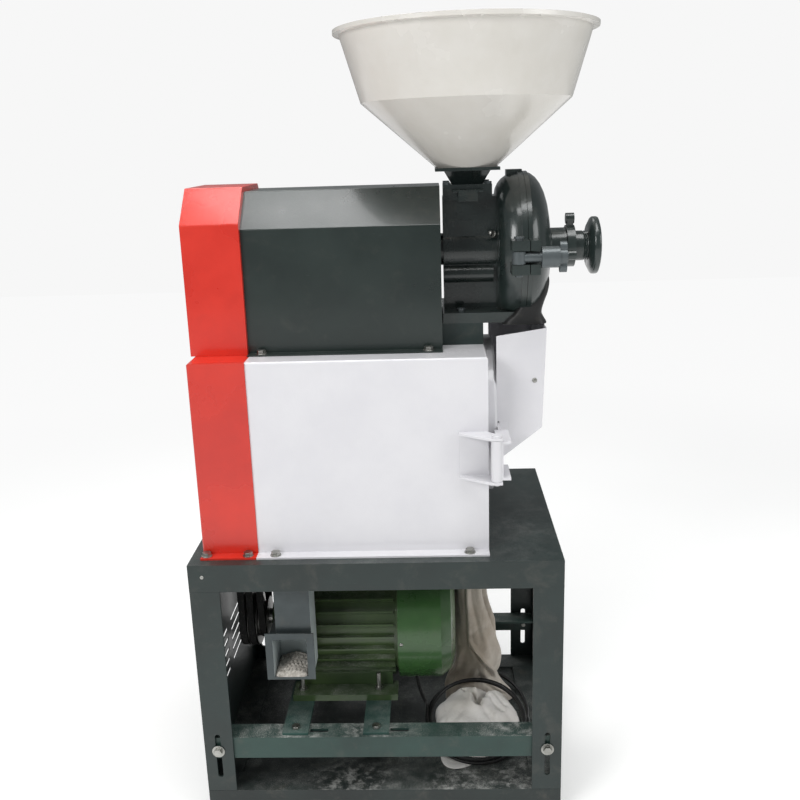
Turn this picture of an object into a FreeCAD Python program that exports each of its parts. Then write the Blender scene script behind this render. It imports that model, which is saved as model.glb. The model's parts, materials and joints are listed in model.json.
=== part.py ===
import FreeCAD, Part
import Sketcher
import math
import os
import re

# A grain grinder on a steel stand: a disc mill feeds a round sieve, both driven by one motor below.
# Origin: centre of the stand's base, on the floor. X runs from the belts to the handwheel,
# Y from the front to the back, Z up. All lengths are millimetres.

vec = FreeCAD.Vector
doc = FreeCAD.newDocument("grain_grinder")

# Driving dimensions. A name that ends in _rise is a height above the table top.
sizes = {
    # stand
    "table_w": 614, "table_d": 440, "table_h": 480, "top_t": 4, "skirt_drop": 48,
    "angle_w": 50, "angle_t": 4, "shelf_t": 2, "guard_t": 2,
    "slot_inset": 24, "slot_low": 78, "slot_high": 162, "slot_w": 9,
    "louvre_len": 79, "louvre_pitch": 21, "louvre_w": 7, "louvre_low": 165, "louvre_start": 15,
    # fits and fasteners
    "fit_gap": 0.05, "seat_gap": 0.02, "slide_gap": 0.3, "soft_gap": 0.5,
    "m_eight": 4, "m_eight_head": 7.5, "m_eight_head_t": 5.5, "m_eight_hole": 4.5,
    "m_six": 3, "m_six_head": 5.7, "m_six_head_t": 4.2,
    "washer_r": 9, "washer_t": 1.6,
    # sieve box and covers
    "box_left": -196, "box_right": 188, "box_half": 178, "box_tall": 328, "box_t": 2,
    "flange_w": 22, "flange_t": 3, "flange_bolt_in": 11.5,
    "box_bolt_left": -165, "box_bolt_right": 156,
    "low_cover_w": 93, "cover_step": 2, "cover_t": 2.5, "bend_r": 4,
    "up_cover_left": -294, "up_cover_w": 94, "up_cover_half": 125, "up_cover_tall": 266,
    "up_chamfer": 55, "dark_right": 118, "dark_step": 8, "dark_flange": 20,
    "dark_bolt_left": -177, "dark_bolt_right": 95, "lip_w": 7, "lip_t": 3,
    # round sieve
    "sieve_rise": 188, "drum_r": 115, "drum_t": 1.5, "partition_x": -110, "sheet_t": 2,
    "door_r": 138, "door_hole_r": 125, "door_deep": 17, "door_t": 3, "feed_half": 52,
    "sieve_shaft_r": 15, "sieve_shaft_end": 150, "sieve_housing_r": 34, "sieve_housing_end": -70,
    "brush_left": -100, "brush_right": 165, "brush_t": 8,
    "hinge_x": 199, "hinge_y": -210, "hinge_pin_r": 5, "barrel_r": 9,
    "hinge_ear_t": 4, "bracket_w": 47, "bracket_low": 130, "bracket_tall": 77,
    "chute_right": 287, "chute_lean": 6, "chute_half": 110, "chute_top_left": 347,
    "chute_top_right": 359, "chute_low_right": 191, "chute_low_left": 140, "chute_foot": 216,
    # bran spout and flour outlet
    "spout_x": -147, "spout_w": 61, "spout_y": -144, "spout_t": 2, "spout_low": 247,
    "mouth_w": 72, "mouth_tall": 82, "mouth_out": 8, "mouth_lip": 6, "mouth_x": -153.5,
    "collar_x": 162, "collar_y": 60, "collar_w": 52, "collar_half": 45, "collar_drop": 36,
    # cloth sleeve and bag
    "bag_x": 172, "bag_y": -60, "bag_half_w": 76, "bag_half_d": 71, "bag_half_h": 42,
    # motor and its carriage
    "rail_w": 40, "rail_t": 4, "rail_top": 153, "tension_bolt_z": 130,
    "strap_t": 5, "strap_w": 45, "strap_left": -150, "strap_right": -10, "strap_slot": 32,
    "shaft_height": 112, "foot_hole_y": 95, "foot_half": 115, "foot_t": 12, "foot_x": -166,
    "barrel_w": 191, "body_r": 99, "fin_out": 11, "fin_t": 3, "fin_count": 30,
    "shield_deep": 44, "shield_boss_r": 40, "fan_cover_w": 104, "fan_cover_r": 114,
    "motor_shaft_r": 14, "motor_shaft_out": 66, "fan_r": 92,
    "box_x": -25, "terminal_w": 84, "terminal_d": 80, "terminal_h": 46, "gland_r": 9,
    # belts and pulleys
    "belt_t": 8, "belt_half": 5.6, "groove_pitch": 16, "sieve_groove_x": -228,
    "main_groove_x": -246, "motor_main_r": 50, "motor_sieve_r": 35, "spindle_pitch_r": 90,
    "sieve_pitch_r": 100, "pulley_hub_r": 28,
    # disc mill
    "spindle_rise": 478, "spindle_r": 15, "spindle_left": -282, "stand_h": 36, "stand_wall": 3,
    "foot_left": 120, "foot_right": 237, "foot_plate_half": 80, "foot_plate_t": 17,
    "foot_bolt_in": 30, "stand_y": 62, "foot_slot_in": 34, "skirt_half": 91, "skirt_lip": 5, "skirt_gap": 0.3,
    "tube_left": 56, "tube_r": 27, "block_half": 30, "barrel_out_r": 38, "rib_drop": 39, "mill_rib_r": 15,
    "bowl_left": 211, "seam_x": 255, "seam_gap": 0.6, "bowl_r": 126, "bowl_wall": 8,
    "bowl_floor": 96, "cover_nose": 300, "boss_end": 329, "boss_r": 31,
    "throat_x": 164, "throat_w": 46, "throat_half": 21, "throat_top": 570, "throat_flange": 80,
    "auger_chamber_r": 25, "auger_r": 23, "auger_t": 4, "auger_pitch": 26,
    "disc_r": 94, "disc_t": 13, "disc_gap": 2, "moving_disc_x": 233, "spindle_nut_r": 20,
    "plunger_r": 20, "stem_r": 25, "stem_end": 366, "ring_r": 35, "ring_t": 14,
    "wheel_r": 48, "wheel_t": 19, "wheel_bevel": 2.5,
    # clamp of the mill cover
    "ear_left": 227, "ear_right": 271, "ear_y": -150, "ear_tip": 8, "ear_t": 16, "ear_gap": 21,
    "swing_pin_x": 238, "swing_pin_r": 6, "swing_eye_r": 11, "swing_shank_r": 8,
    "nut_r": 16.5, "nut_len": 28, "nut_gap": 1.3, "wing_t": 11, "wing_half": 24,
    # hopper and feed gate
    "hopper_x": 164, "hopper_r": 213, "hopper_lip": 10, "hopper_shoulder_r": 172,
    "hopper_shoulder": 718, "hopper_top": 830, "hopper_low": 613, "hopper_low_r": 51,
    "hopper_t": 3, "neck_flange": 105, "neck_flange_t": 5, "neck_top_half": 38,
    "neck_low_half": 20, "gate_t": 4, "gate_half": 25, "gate_travel": 52,
    # mains lead
    "lead_r": 4.5, "coil_x": 172, "coil_y": -62, "coil_r": 88, "coil_tube_r": 8, "coil_tilt": 17,
}

# Places worked out from the driving dimensions.
places = {
    "half_w": "table_w / 2", "half_d": "table_d / 2",
    "box_top": "table_h + box_tall",
    "low_cover_left": "box_left - low_cover_w", "low_cover_half": "box_half + cover_step",
    "up_cover_right": "up_cover_left + up_cover_w",
    "dark_half": "up_cover_half - dark_step", "dark_tall": "up_cover_tall - dark_step",
    "dark_chamfer": "up_chamfer + 2",
    "sieve_axis": "table_h + sieve_rise", "spindle_axis": "table_h + spindle_rise",
    "motor_axis": "rail_top + strap_t + shaft_height",
    "barrel_right": "foot_x + barrel_w",
    "shoulder_x": "foot_x - shield_deep",
    "shelf_top": "angle_w - angle_t",
    "foot_low": "box_top + stand_h",
    "slot_x": "half_w - slot_inset",
    "box_bolt_y": "box_half + flange_bolt_in",
    "dark_bolt_y": "dark_half + dark_flange / 2",
    "rail_out": "half_d - angle_t - slide_gap",
    "strap_y": "rail_out - rail_w / 2",
    "floor_z": "spindle_axis - bowl_floor",
    "cover_left": "seam_x + seam_gap",
    "fixed_disc_x": "moving_disc_x + disc_t + disc_gap",
    "plate_x": "fixed_disc_x + disc_t",
    "nut_x": "ear_right + nut_gap",
    "ring_x": "boss_end + 0.5",
    "throat_z": "table_h + throat_top",
    "hopper_low_z": "table_h + hopper_low", "hopper_top_z": "table_h + hopper_top",
    "neck_low_z": "throat_z + gate_t * 3",
    "collar_low": "table_h - top_t - collar_drop",
    "barrel_low": "bracket_low + hinge_ear_t + soft_gap",
    "barrel_len": "bracket_tall - 2 * (hinge_ear_t + soft_gap)",
    "coil_z": "shelf_top + coil_tube_r + coil_r * sin(coil_tilt) + slide_gap",
    "plug_y": "bag_y + bag_half_d + 111", "plug_z": "shelf_top + 19 + slide_gap",
}


def formula(text):
    """Puts the name of its sheet in front of every size or place in an expression."""
    def with_sheet(match):
        word = match.group(0)
        if word in sizes:
            return "Sizes." + word
        if word in places:
            return "Places." + word
        return word
    return re.sub(r"[A-Za-z_]\w*", with_sheet, str(text))


def fill_sheet(name, rows, cell_text):
    sheet = doc.addObject("Spreadsheet::Sheet", name)
    for number, (alias, content) in enumerate(rows.items(), 1):
        sheet.set("A%d" % number, alias)
        sheet.set("B%d" % number, cell_text(content))
        sheet.setAlias("B%d" % number, alias)
    return sheet


size_sheet = fill_sheet("Sizes", sizes, str)
fill_sheet("Places", places, lambda text: "=" + formula(text))
doc.recompute()

nodes = {}


def value(text):
    """The number that an expression gives at the present sizes."""
    return float(size_sheet.evalExpression(formula(text)))


def bind(item, settings):
    for prop, text in settings.items():
        item.setExpression(prop, formula(text))


def bind_base(item, x, y, z):
    bind(item, {"Placement.Base.x": x, "Placement.Base.y": y, "Placement.Base.z": z})


def node(name, item):
    """Marks an object as a finished sub-part under its own name."""
    item.Label = name
    nodes[name] = item
    return item


turns = {
    "+x": FreeCAD.Rotation(vec(0, 1, 0), 90), "-x": FreeCAD.Rotation(vec(0, 1, 0), -90),
    "+y": FreeCAD.Rotation(vec(1, 0, 0), -90), "-y": FreeCAD.Rotation(vec(1, 0, 0), 90),
    "+z": FreeCAD.Rotation(), "-z": FreeCAD.Rotation(vec(1, 0, 0), 180),
}
opposite = {"+x": "-x", "-x": "+x", "+y": "-y", "-y": "+y", "+z": "-z", "-z": "+z"}


def box(hint, x_span, y_span, z_span):
    """A block between two expressions along each axis."""
    item = doc.addObject("Part::Box", hint)
    bind(item, {"Length": "(%s) - (%s)" % (x_span[1], x_span[0]),
                "Width": "(%s) - (%s)" % (y_span[1], y_span[0]),
                "Height": "(%s) - (%s)" % (z_span[1], z_span[0])})
    bind_base(item, x_span[0], y_span[0], z_span[0])
    return item


def rod(hint, way, radius, length, x, y, z):
    """A cylinder that starts at a point and runs along one of the six axis directions."""
    item = doc.addObject("Part::Cylinder", hint)
    item.Placement = FreeCAD.Placement(vec(0, 0, 0), turns[way])
    bind(item, {"Radius": radius, "Height": length})
    bind_base(item, x, y, z)
    return item


def fuse(hint, *items):
    item = doc.addObject("Part::MultiFuse", hint)
    item.Shapes = list(items)
    item.Refine = True
    return item


def group(hint, *items):
    item = doc.addObject("Part::Compound", hint)
    item.Links = list(items)
    return item


def cut(hint, base, *tools):
    item = doc.addObject("Part::Cut", hint)
    item.Base = base
    item.Tool = tools[0] if len(tools) == 1 else fuse(hint + "_tools", *tools)
    return item


def mirror(hint, source, normal):
    item = doc.addObject("Part::Mirroring", hint)
    item.Source = source
    item.Normal = normal
    return item


def outline(body, plane_role, points, offset="0"):
    """A closed sketch of straight lines whose corners are bound to pairs of expressions."""
    plane = [feature for feature in body.Origin.OriginFeatures if feature.Role == plane_role][0]
    sketch = body.newObject("Sketcher::SketchObject", body.Name + "_outline")
    sketch.AttachmentSupport = [(plane, "")]
    sketch.MapMode = "FlatFace"
    bind(sketch, {"AttachmentOffset.Base.z": offset})
    corners = [vec(value(x), value(y), 0) for x, y in points]
    count = len(corners)
    for here in range(count):
        sketch.addGeometry(Part.LineSegment(corners[here], corners[(here + 1) % count]))
    for here in range(count):
        after = (here + 1) % count
        sketch.addConstraint(Sketcher.Constraint("Coincident", here, 2, after, 1))
    for here, pair in enumerate(points):
        for kind, text, number in zip(("DistanceX", "DistanceY"), pair, corners[here]):
            index = sketch.addConstraint(Sketcher.Constraint(kind, -1, 1, here, 1, number))
            bind(sketch, {"Constraints[%d]" % index: text})
    return sketch


def extruded(hint, plane_role, points, span):
    """A straight-sided outline padded between two expressions along the plane's own normal."""
    body = doc.addObject("PartDesign::Body", hint)
    backwards = plane_role == "XZ_Plane"
    start = "-(%s)" % span[0] if backwards else span[0]
    sketch = outline(body, plane_role, points, start)
    pad = body.newObject("PartDesign::Pad", hint + "_pad")
    pad.Profile = sketch
    pad.Reversed = backwards
    bind(pad, {"Length": "(%s) - (%s)" % (span[1], span[0])})
    return body


def turned(hint, axis, points, x="0", y="0", z="0"):
    """A revolved outline: points are (x, radius) about X, or (radius, z) about Z."""
    body = doc.addObject("PartDesign::Body", hint)
    sketch = outline(body, "XZ_Plane", points)
    spin = body.newObject("PartDesign::Revolution", hint + "_turn")
    spin.Profile = sketch
    spin.ReferenceAxis = (sketch, ["H_Axis" if axis == "x" else "V_Axis"])
    spin.Angle = 360
    bind_base(body, x, y, z)
    return body


def rounded(hint, base, radius, pick):
    """Fillets the edges that pick chooses on the finished base."""
    doc.recompute()
    chosen = [number for number, edge in enumerate(base.Shape.Edges, 1) if pick(edge)]
    item = doc.addObject("Part::Fillet", hint)
    item.Base = base
    item.Edges = [(number, value(radius), value(radius)) for number in chosen]
    return item


def along(edge, way):
    """True for a straight edge that is parallel to a direction."""
    if edge.Curve.TypeId != "Part::GeomLine":
        return False
    return abs(edge.tangentAt(edge.FirstParameter).dot(way)) > 0.999


def hex_bolt(hint, way, grip, x, y, z, thread="m_eight"):
    """A hexagon head with its underside at a point, its shank running the other way."""
    head = doc.addObject("Part::Prism", hint + "_head")
    head.Polygon = 6
    head.Placement = FreeCAD.Placement(vec(0, 0, 0), turns[way])
    bind(head, {"Circumradius": thread + "_head", "Height": thread + "_head_t"})
    bind_base(head, x, y, z)
    return fuse(hint, head, rod(hint + "_shank", opposite[way], thread, grip, x, y, z))


x_way, y_way, z_way = vec(1, 0, 0), vec(0, 1, 0), vec(0, 0, 1)


# Stand

def table_top():
    """Folded pan with openings for the belts, the bran, the flour and the fixing bolts."""
    pan = box("table_block", ("-half_w", "half_w"), ("-half_d", "half_d"),
              ("table_h - skirt_drop", "table_h"))
    hollow = box("table_hollow", ("-half_w + angle_t", "half_w - angle_t"),
                 ("-half_d + angle_t", "half_d - angle_t"),
                 ("table_h - skirt_drop - 1", "table_h - top_t"))
    below = ("table_h - top_t - 1", "table_h + 1")
    belts = box("belt_bay", ("low_cover_left + 8", "box_left - 10"), ("-110", "110"), below)
    half_bran = "(spout_w / 2 - spout_t)"
    bran = box("bran_hole", ("spout_x - " + half_bran, "spout_x + " + half_bran),
               ("spout_y - " + half_bran, "spout_y + " + half_bran), below)
    half_flour = "(collar_w / 2 - sheet_t)"
    flour = box("flour_hole", ("collar_x - " + half_flour, "collar_x + " + half_flour),
                ("collar_y - collar_half + sheet_t", "collar_y + collar_half - sheet_t"), below)
    holes = [rod("table_bolt_hole", "+z", "m_eight_hole", "top_t + 2", x, y, "table_h - top_t - 1")
             for x, y in flange_bolt_spots()]
    shell = cut("table_pan", pan, hollow, belts, bran, flour, *holes)
    collar_out = box("collar_outside", ("collar_x - collar_w / 2", "collar_x + collar_w / 2"),
                     ("collar_y - collar_half", "collar_y + collar_half"), ("collar_low", "table_h - top_t"))
    collar_in = box("collar_inside", ("collar_x - " + half_flour, "collar_x + " + half_flour),
                    ("collar_y - collar_half + sheet_t", "collar_y + collar_half - sheet_t"),
                    ("collar_low - 1", "table_h - top_t + 1"))
    node("table_top", fuse("table_top", shell, cut("flour_collar", collar_out, collar_in)))


def flange_bolt_spots():
    """Bolts through the bottom flanges of the sieve box and the lower belt cover."""
    spots = []
    for y in ("-box_bolt_y", "box_bolt_y"):
        for x in ("box_bolt_left", "box_bolt_right", "low_cover_left + 9", "box_left - 15"):
            spots.append((x, y))
    return spots


def cover_bolt_spots():
    """Bolts through the bottom flanges of the spindle cover."""
    return [(x, y) for y in ("-dark_bolt_y", "dark_bolt_y") for x in ("dark_bolt_left", "dark_bolt_right")]


def legs():
    """Four angle legs, each slotted where the motor carriage is bolted to it."""
    points = [("-half_w", "-half_d"), ("-half_w + angle_w", "-half_d"),
              ("-half_w + angle_w", "-half_d + angle_t"), ("-half_w + angle_t", "-half_d + angle_t"),
              ("-half_w + angle_t", "-half_d + angle_w"), ("-half_w", "-half_d + angle_w")]
    blank = extruded("leg_blank", "XY_Plane", points, ("angle_w", "table_h - skirt_drop"))
    slot = box("leg_slot", ("-slot_x - slot_w / 2", "-slot_x + slot_w / 2"),
               ("-half_d - 1", "-half_d + angle_t + 1"),
               ("slot_low + slot_w / 2", "slot_high - slot_w / 2"))
    ends = [rod("leg_slot_end", "+y", "slot_w / 2", "angle_t + 2", "-slot_x", "-half_d - 1", z)
            for z in ("slot_low + slot_w / 2", "slot_high - slot_w / 2")]
    front_left = node("leg_front_left", cut("leg_front_left", blank, slot, *ends))
    front_right = node("leg_front_right", mirror("leg_front_right", front_left, x_way))
    node("leg_rear_left", mirror("leg_rear_left", front_left, y_way))
    node("leg_rear_right", mirror("leg_rear_right", front_right, y_way))


def bottom_frame():
    """Four angles under the legs, with a thin shelf under their inner flanges."""
    front = fuse("bottom_front",
                 box("front_wall", ("-half_w", "half_w"), ("-half_d", "-half_d + angle_t"), ("0", "angle_w")),
                 box("front_ledge", ("-half_w", "half_w"), ("-half_d", "-half_d + angle_w"),
                     ("shelf_top", "angle_w")))
    side = fuse("bottom_left",
                box("side_wall", ("-half_w", "-half_w + angle_t"),
                    ("-half_d + angle_t", "half_d - angle_t"), ("0", "shelf_top")),
                box("side_ledge", ("-half_w", "-half_w + angle_w"),
                    ("-half_d + angle_w", "half_d - angle_w"), ("shelf_top", "angle_w")))
    shelf = box("bottom_shelf", ("-half_w + angle_t", "half_w - angle_t"),
                ("-half_d + angle_t", "half_d - angle_t"), ("shelf_top - shelf_t", "shelf_top"))
    node("bottom_frame", group("bottom_frame", front, mirror("bottom_rear", front, y_way),
                               side, mirror("bottom_right", side, x_way), shelf))


def left_guard_panel():
    """Sheet between the left legs, with two columns of louvre slots and a cable hole."""
    sheet = box("guard_sheet", ("-half_w + angle_t", "-half_w + angle_t + guard_t"),
                ("-half_d + angle_t", "half_d - angle_t"), ("angle_w", "table_h - skirt_drop"))
    through = ("-half_w + angle_t - 1", "-half_w + angle_t + guard_t + 1")
    slots = []
    for column in ("louvre_start", "-louvre_start - louvre_len"):
        for row in range(5):
            low = "louvre_low + %d * louvre_pitch" % row
            slots.append(box("louvre", through, (column, column + " + louvre_len"),
                             (low, low + " + louvre_w")))
    cable = rod("guard_hole", "+x", "11", "guard_t + 2", "-half_w + angle_t - 1", "150", "250")
    node("left_guard_panel", cut("left_guard_panel", sheet, cable, *slots))


# Sieve box and covers

def sieve_box():
    """White shell, open below, with outward flanges and a round door opening on the right."""
    block = box("sieve_block", ("box_left", "box_right"), ("-box_half", "box_half"), ("table_h", "box_top"))
    block = rounded("sieve_block_bends", block, "bend_r",
                    lambda edge: edge.BoundBox.ZMin > value("box_top") - 1 and
                    (along(edge, x_way) or (along(edge, y_way) and edge.BoundBox.XMin > 0)))
    hollow = box("sieve_hollow", ("box_left + box_t", "box_right - box_t"),
                 ("-box_half + box_t", "box_half - box_t"), ("table_h - 1", "box_top - box_t"))
    flanges = []
    for low, high in (("-box_half - flange_w", "-box_half"), ("box_half", "box_half + flange_w")):
        flanges.append(box("box_flange", ("box_left", "box_right"), (low, high),
                           ("table_h", "table_h + flange_t")))
    shell = fuse("sieve_shell", block, *flanges)
    door = rod("door_opening", "+x", "door_hole_r", "box_t + 2", "box_right - box_t - 1", "0", "sieve_axis")
    bearing = rod("bearing_opening", "+x", "sieve_housing_r + fit_gap", "box_t + 2", "box_left - 1",
                  "0", "sieve_axis")
    low_holes = [rod("box_bolt_hole", "+z", "m_eight_hole", "flange_t + 2", x, y, "table_h - 1")
                 for x, y in flange_bolt_spots() if x.startswith("box_bolt")]
    top_holes = [rod("box_top_hole", "+z", "m_eight_hole", "box_t + 2", x, y, "box_top - box_t - 1")
                 for x, y in cover_bolt_spots()]
    node("sieve_box", cut("sieve_box", shell, hollow, door, bearing, *low_holes, *top_holes))


def belt_cover_lower():
    """Red shell beside the sieve box, open towards it and below."""
    block = box("low_cover_block", ("low_cover_left", "box_left"), ("-low_cover_half", "low_cover_half"),
                ("table_h", "box_top"))
    block = rounded("low_cover_bends", block, "bend_r",
                    lambda edge: edge.BoundBox.XMax < value("low_cover_left") + 1 and
                    (along(edge, z_way) or edge.BoundBox.ZMin > value("box_top") - 1))
    hollow = box("low_cover_hollow", ("low_cover_left + cover_t", "box_left + 1"),
                 ("-low_cover_half + cover_t", "low_cover_half - cover_t"), ("table_h - 1", "box_top - cover_t"))
    way_up = box("low_cover_way", ("low_cover_left + 9", "box_left + 1"), ("-105", "105"),
                 ("box_top - 10", "box_top + 1"))
    flanges = []
    for low, high in (("-box_half - flange_w", "-low_cover_half"), ("low_cover_half", "box_half + flange_w")):
        flanges.append(box("low_cover_flange", ("low_cover_left", "box_left"), (low, high),
                           ("table_h", "table_h + flange_t")))
    shell = fuse("low_cover_shell", block, *flanges)
    holes = [rod("low_cover_hole", "+z", "m_eight_hole", "flange_t + 2", x, y, "table_h - 1")
             for x, y in flange_bolt_spots() if not x.startswith("box_bolt")]
    node("belt_cover_lower", cut("belt_cover_lower", shell, hollow, way_up, *holes))


def house(half, low, tall, chamfer, inset="0"):
    """The six corners of a box section whose upper corners are cut off, as (y, z) pairs."""
    side, top = "(%s - %s)" % (half, inset), "(%s + %s - %s)" % (low, tall, inset)
    cut_in = "(%s - %s * 0.586)" % (chamfer, inset)
    return [("-" + side, low), (side, low), (side, "%s - %s" % (top, cut_in)),
            ("%s - %s" % (side, cut_in), top), ("-%s + %s" % (side, cut_in), top),
            ("-" + side, "%s - %s" % (top, cut_in))]


def belt_cover_upper():
    """Red hood over the spindle belts, with a step in its right wall for the spindle cover."""
    section = house("up_cover_half", "box_top", "up_cover_tall", "up_chamfer")
    hood = extruded("up_cover_block", "YZ_Plane", section, ("up_cover_left", "up_cover_right"))
    hood = rounded("up_cover_bends", hood, "bend_r", lambda edge: along(edge, x_way) and
                   edge.BoundBox.ZMin > value("box_top") + 1)
    inside = house("up_cover_half", "box_top", "up_cover_tall", "up_chamfer", "cover_t")
    inside = [(y, z if z != "box_top" else "box_top - 1") for y, z in inside]
    hollow = extruded("up_cover_hollow", "YZ_Plane", inside,
                      ("up_cover_left + cover_t", "up_cover_right - cover_t"))
    way = house("dark_half", "box_top", "dark_tall", "dark_chamfer", "6")
    way = [(y, z if z != "box_top" else "box_top - 1") for y, z in way]
    opening = extruded("up_cover_way", "YZ_Plane", way, ("up_cover_right - 10", "up_cover_right + 1"))
    node("belt_cover_upper", cut("belt_cover_upper", hood, hollow, opening))


def spindle_cover():
    """Dark hood over the spindle: folded sheet with flanges below and a lip at its right end."""
    section = house("dark_half", "box_top", "dark_tall", "dark_chamfer")
    hood = extruded("dark_block", "YZ_Plane", section, ("up_cover_right", "dark_right"))
    hood = rounded("dark_bends", hood, "bend_r", lambda edge: along(edge, x_way) and
                   edge.BoundBox.ZMin > value("box_top") + 1)
    inside = house("dark_half", "box_top", "dark_tall", "dark_chamfer", "sheet_t")
    inside = [(y, z if z != "box_top" else "box_top - 1") for y, z in inside]
    hollow = extruded("dark_hollow", "YZ_Plane", inside, ("up_cover_right - 1", "dark_right - lip_t"))
    window = house("dark_half", "box_top", "dark_tall", "dark_chamfer", "(sheet_t + lip_w)")
    window = [(y, z if z != "box_top" else "box_top - 1") for y, z in window]
    opening = extruded("dark_window", "YZ_Plane", window, ("dark_right - 10", "dark_right + 1"))
    flanges = []
    for low, high in (("-dark_half - dark_flange", "-dark_half + 1"), ("dark_half - 1", "dark_half + dark_flange")):
        flanges.append(box("dark_flange_sheet", ("up_cover_right + 0.5", "dark_right"), (low, high),
                           ("box_top", "box_top + sheet_t")))
    shell = cut("dark_shell", fuse("dark_sheets", hood, *flanges), hollow, opening)
    holes = [rod("dark_hole", "+z", "m_eight_hole", "sheet_t + 2", x, y, "box_top - 1")
             for x, y in cover_bolt_spots()]
    node("spindle_cover", cut("spindle_cover", shell, *holes))


def cover_bolts():
    """Hexagon bolts with washers along the flanges of the box and of both covers."""
    pieces = []
    for spots, face, grip in ((flange_bolt_spots(), "table_h + flange_t", "flange_t + top_t + 8"),
                              (cover_bolt_spots(), "box_top + sheet_t", "sheet_t + box_t + 8")):
        for x, y in spots:
            bolt = hex_bolt("cover_bolt", "+z", grip + " + washer_t", x, y, face + " + washer_t")
            washer = rod("cover_washer", "+z", "washer_r", "washer_t", x, y, face)
            pieces.append(fuse("bolt_and_washer", bolt, washer))
    node("cover_bolts", group("cover_bolts", *pieces))


# Round sieve

def sieve_floor():
    """Partition that closes the bran end off, and the sloping sheet that leads flour to its hole."""
    blank = box("partition_sheet", ("partition_x - sheet_t", "partition_x"),
                ("-box_half + box_t", "box_half - box_t"), ("table_h", "box_top - box_t"))
    way = rod("partition_way", "+x", "drum_r - drum_t - 2", "sheet_t + 2", "partition_x - sheet_t - 1",
              "0", "sieve_axis")
    slope = extruded("flour_slide", "XZ_Plane",
                     [("partition_x", "table_h + 52"), ("collar_x - collar_w / 2", "table_h"),
                      ("collar_x - collar_w / 2 + 3", "table_h"), ("partition_x", "table_h + 55")],
                     ("-box_half + box_t", "box_half - box_t"))
    node("sieve_floor", group("sieve_floor", cut("bran_partition", blank, way), slope))


def sieve_screen():
    """Perforated drum between the partition and the door wall, stiffened by two end rings."""
    mesh = turned("sieve_screen_mesh", "x",
                  [("partition_x", "drum_r - drum_t"), ("box_right - box_t", "drum_r - drum_t"),
                   ("box_right - box_t", "drum_r + 4"), ("box_right - box_t - 12", "drum_r + 4"),
                   ("box_right - box_t - 12", "drum_r"), ("partition_x + 12", "drum_r"),
                   ("partition_x + 12", "drum_r + 4"), ("partition_x", "drum_r + 4")], z="sieve_axis")
    node("sieve_screen", mesh)


def sieve_rotor():
    """Cantilevered shaft with its bearing housing, brush bars on two spiders, and its pulley."""
    housing = turned("sieve_bearing_housing", "x",
                     [("box_left - 10", "sieve_shaft_r + fit_gap"), ("sieve_housing_end", "sieve_shaft_r + fit_gap"),
                      ("sieve_housing_end", "sieve_housing_r - 6"), ("box_left + box_t + 10", "sieve_housing_r"),
                      ("box_left", "sieve_housing_r"), ("box_left", "sieve_housing_r + 18"),
                      ("box_left - 10", "sieve_housing_r + 18")], z="sieve_axis")
    node("sieve_bearing_housing", housing)
    node("sieve_shaft", rod("sieve_shaft", "+x", "sieve_shaft_r", "sieve_shaft_end - (sieve_groove_x - 12)",
                            "sieve_groove_x - 12", "0", "sieve_axis"))
    pieces = []
    reach = "drum_r - drum_t - 2"
    for spider_x in ("-40", "118"):
        pieces.append(rod("brush_hub", "+x", "sieve_shaft_r + 11", "22", spider_x, "0", "sieve_axis"))
        pieces.append(box("brush_arm", (spider_x + " + 5", spider_x + " + 17"),
                          ("-(%s) + 14" % reach, reach + " - 14"), ("sieve_axis - 6", "sieve_axis + 6")))
        pieces.append(box("brush_arm", (spider_x + " + 5", spider_x + " + 17"), ("-6", "6"),
                          ("sieve_axis - (%s) + 14" % reach, "sieve_axis + (%s) - 14" % reach)))
    bars = [(("-" + "brush_t", "brush_t"), ("sieve_axis + " + reach + " - 26", "sieve_axis + " + reach)),
            (("-" + "brush_t", "brush_t"), ("sieve_axis - (" + reach + ")", "sieve_axis - (" + reach + ") + 26")),
            (("-(" + reach + ")", "-(" + reach + ") + 26"), ("sieve_axis - brush_t", "sieve_axis + brush_t")),
            ((reach + " - 26", reach), ("sieve_axis - brush_t", "sieve_axis + brush_t"))]
    for y_span, z_span in bars:
        pieces.append(box("brush_bar", ("brush_left", "brush_right"), y_span, z_span))
    bore = rod("brush_bore", "+x", "sieve_shaft_r + seat_gap", "400", "brush_left - 20", "0", "sieve_axis")
    node("sieve_brush", cut("sieve_brush", fuse("brush_pieces", *pieces), bore))
    node("sieve_pulley", pulley("sieve_pulley", ["sieve_groove_x"], ["sieve_pitch_r"], "sieve_shaft_r", "sieve_axis"))


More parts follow.
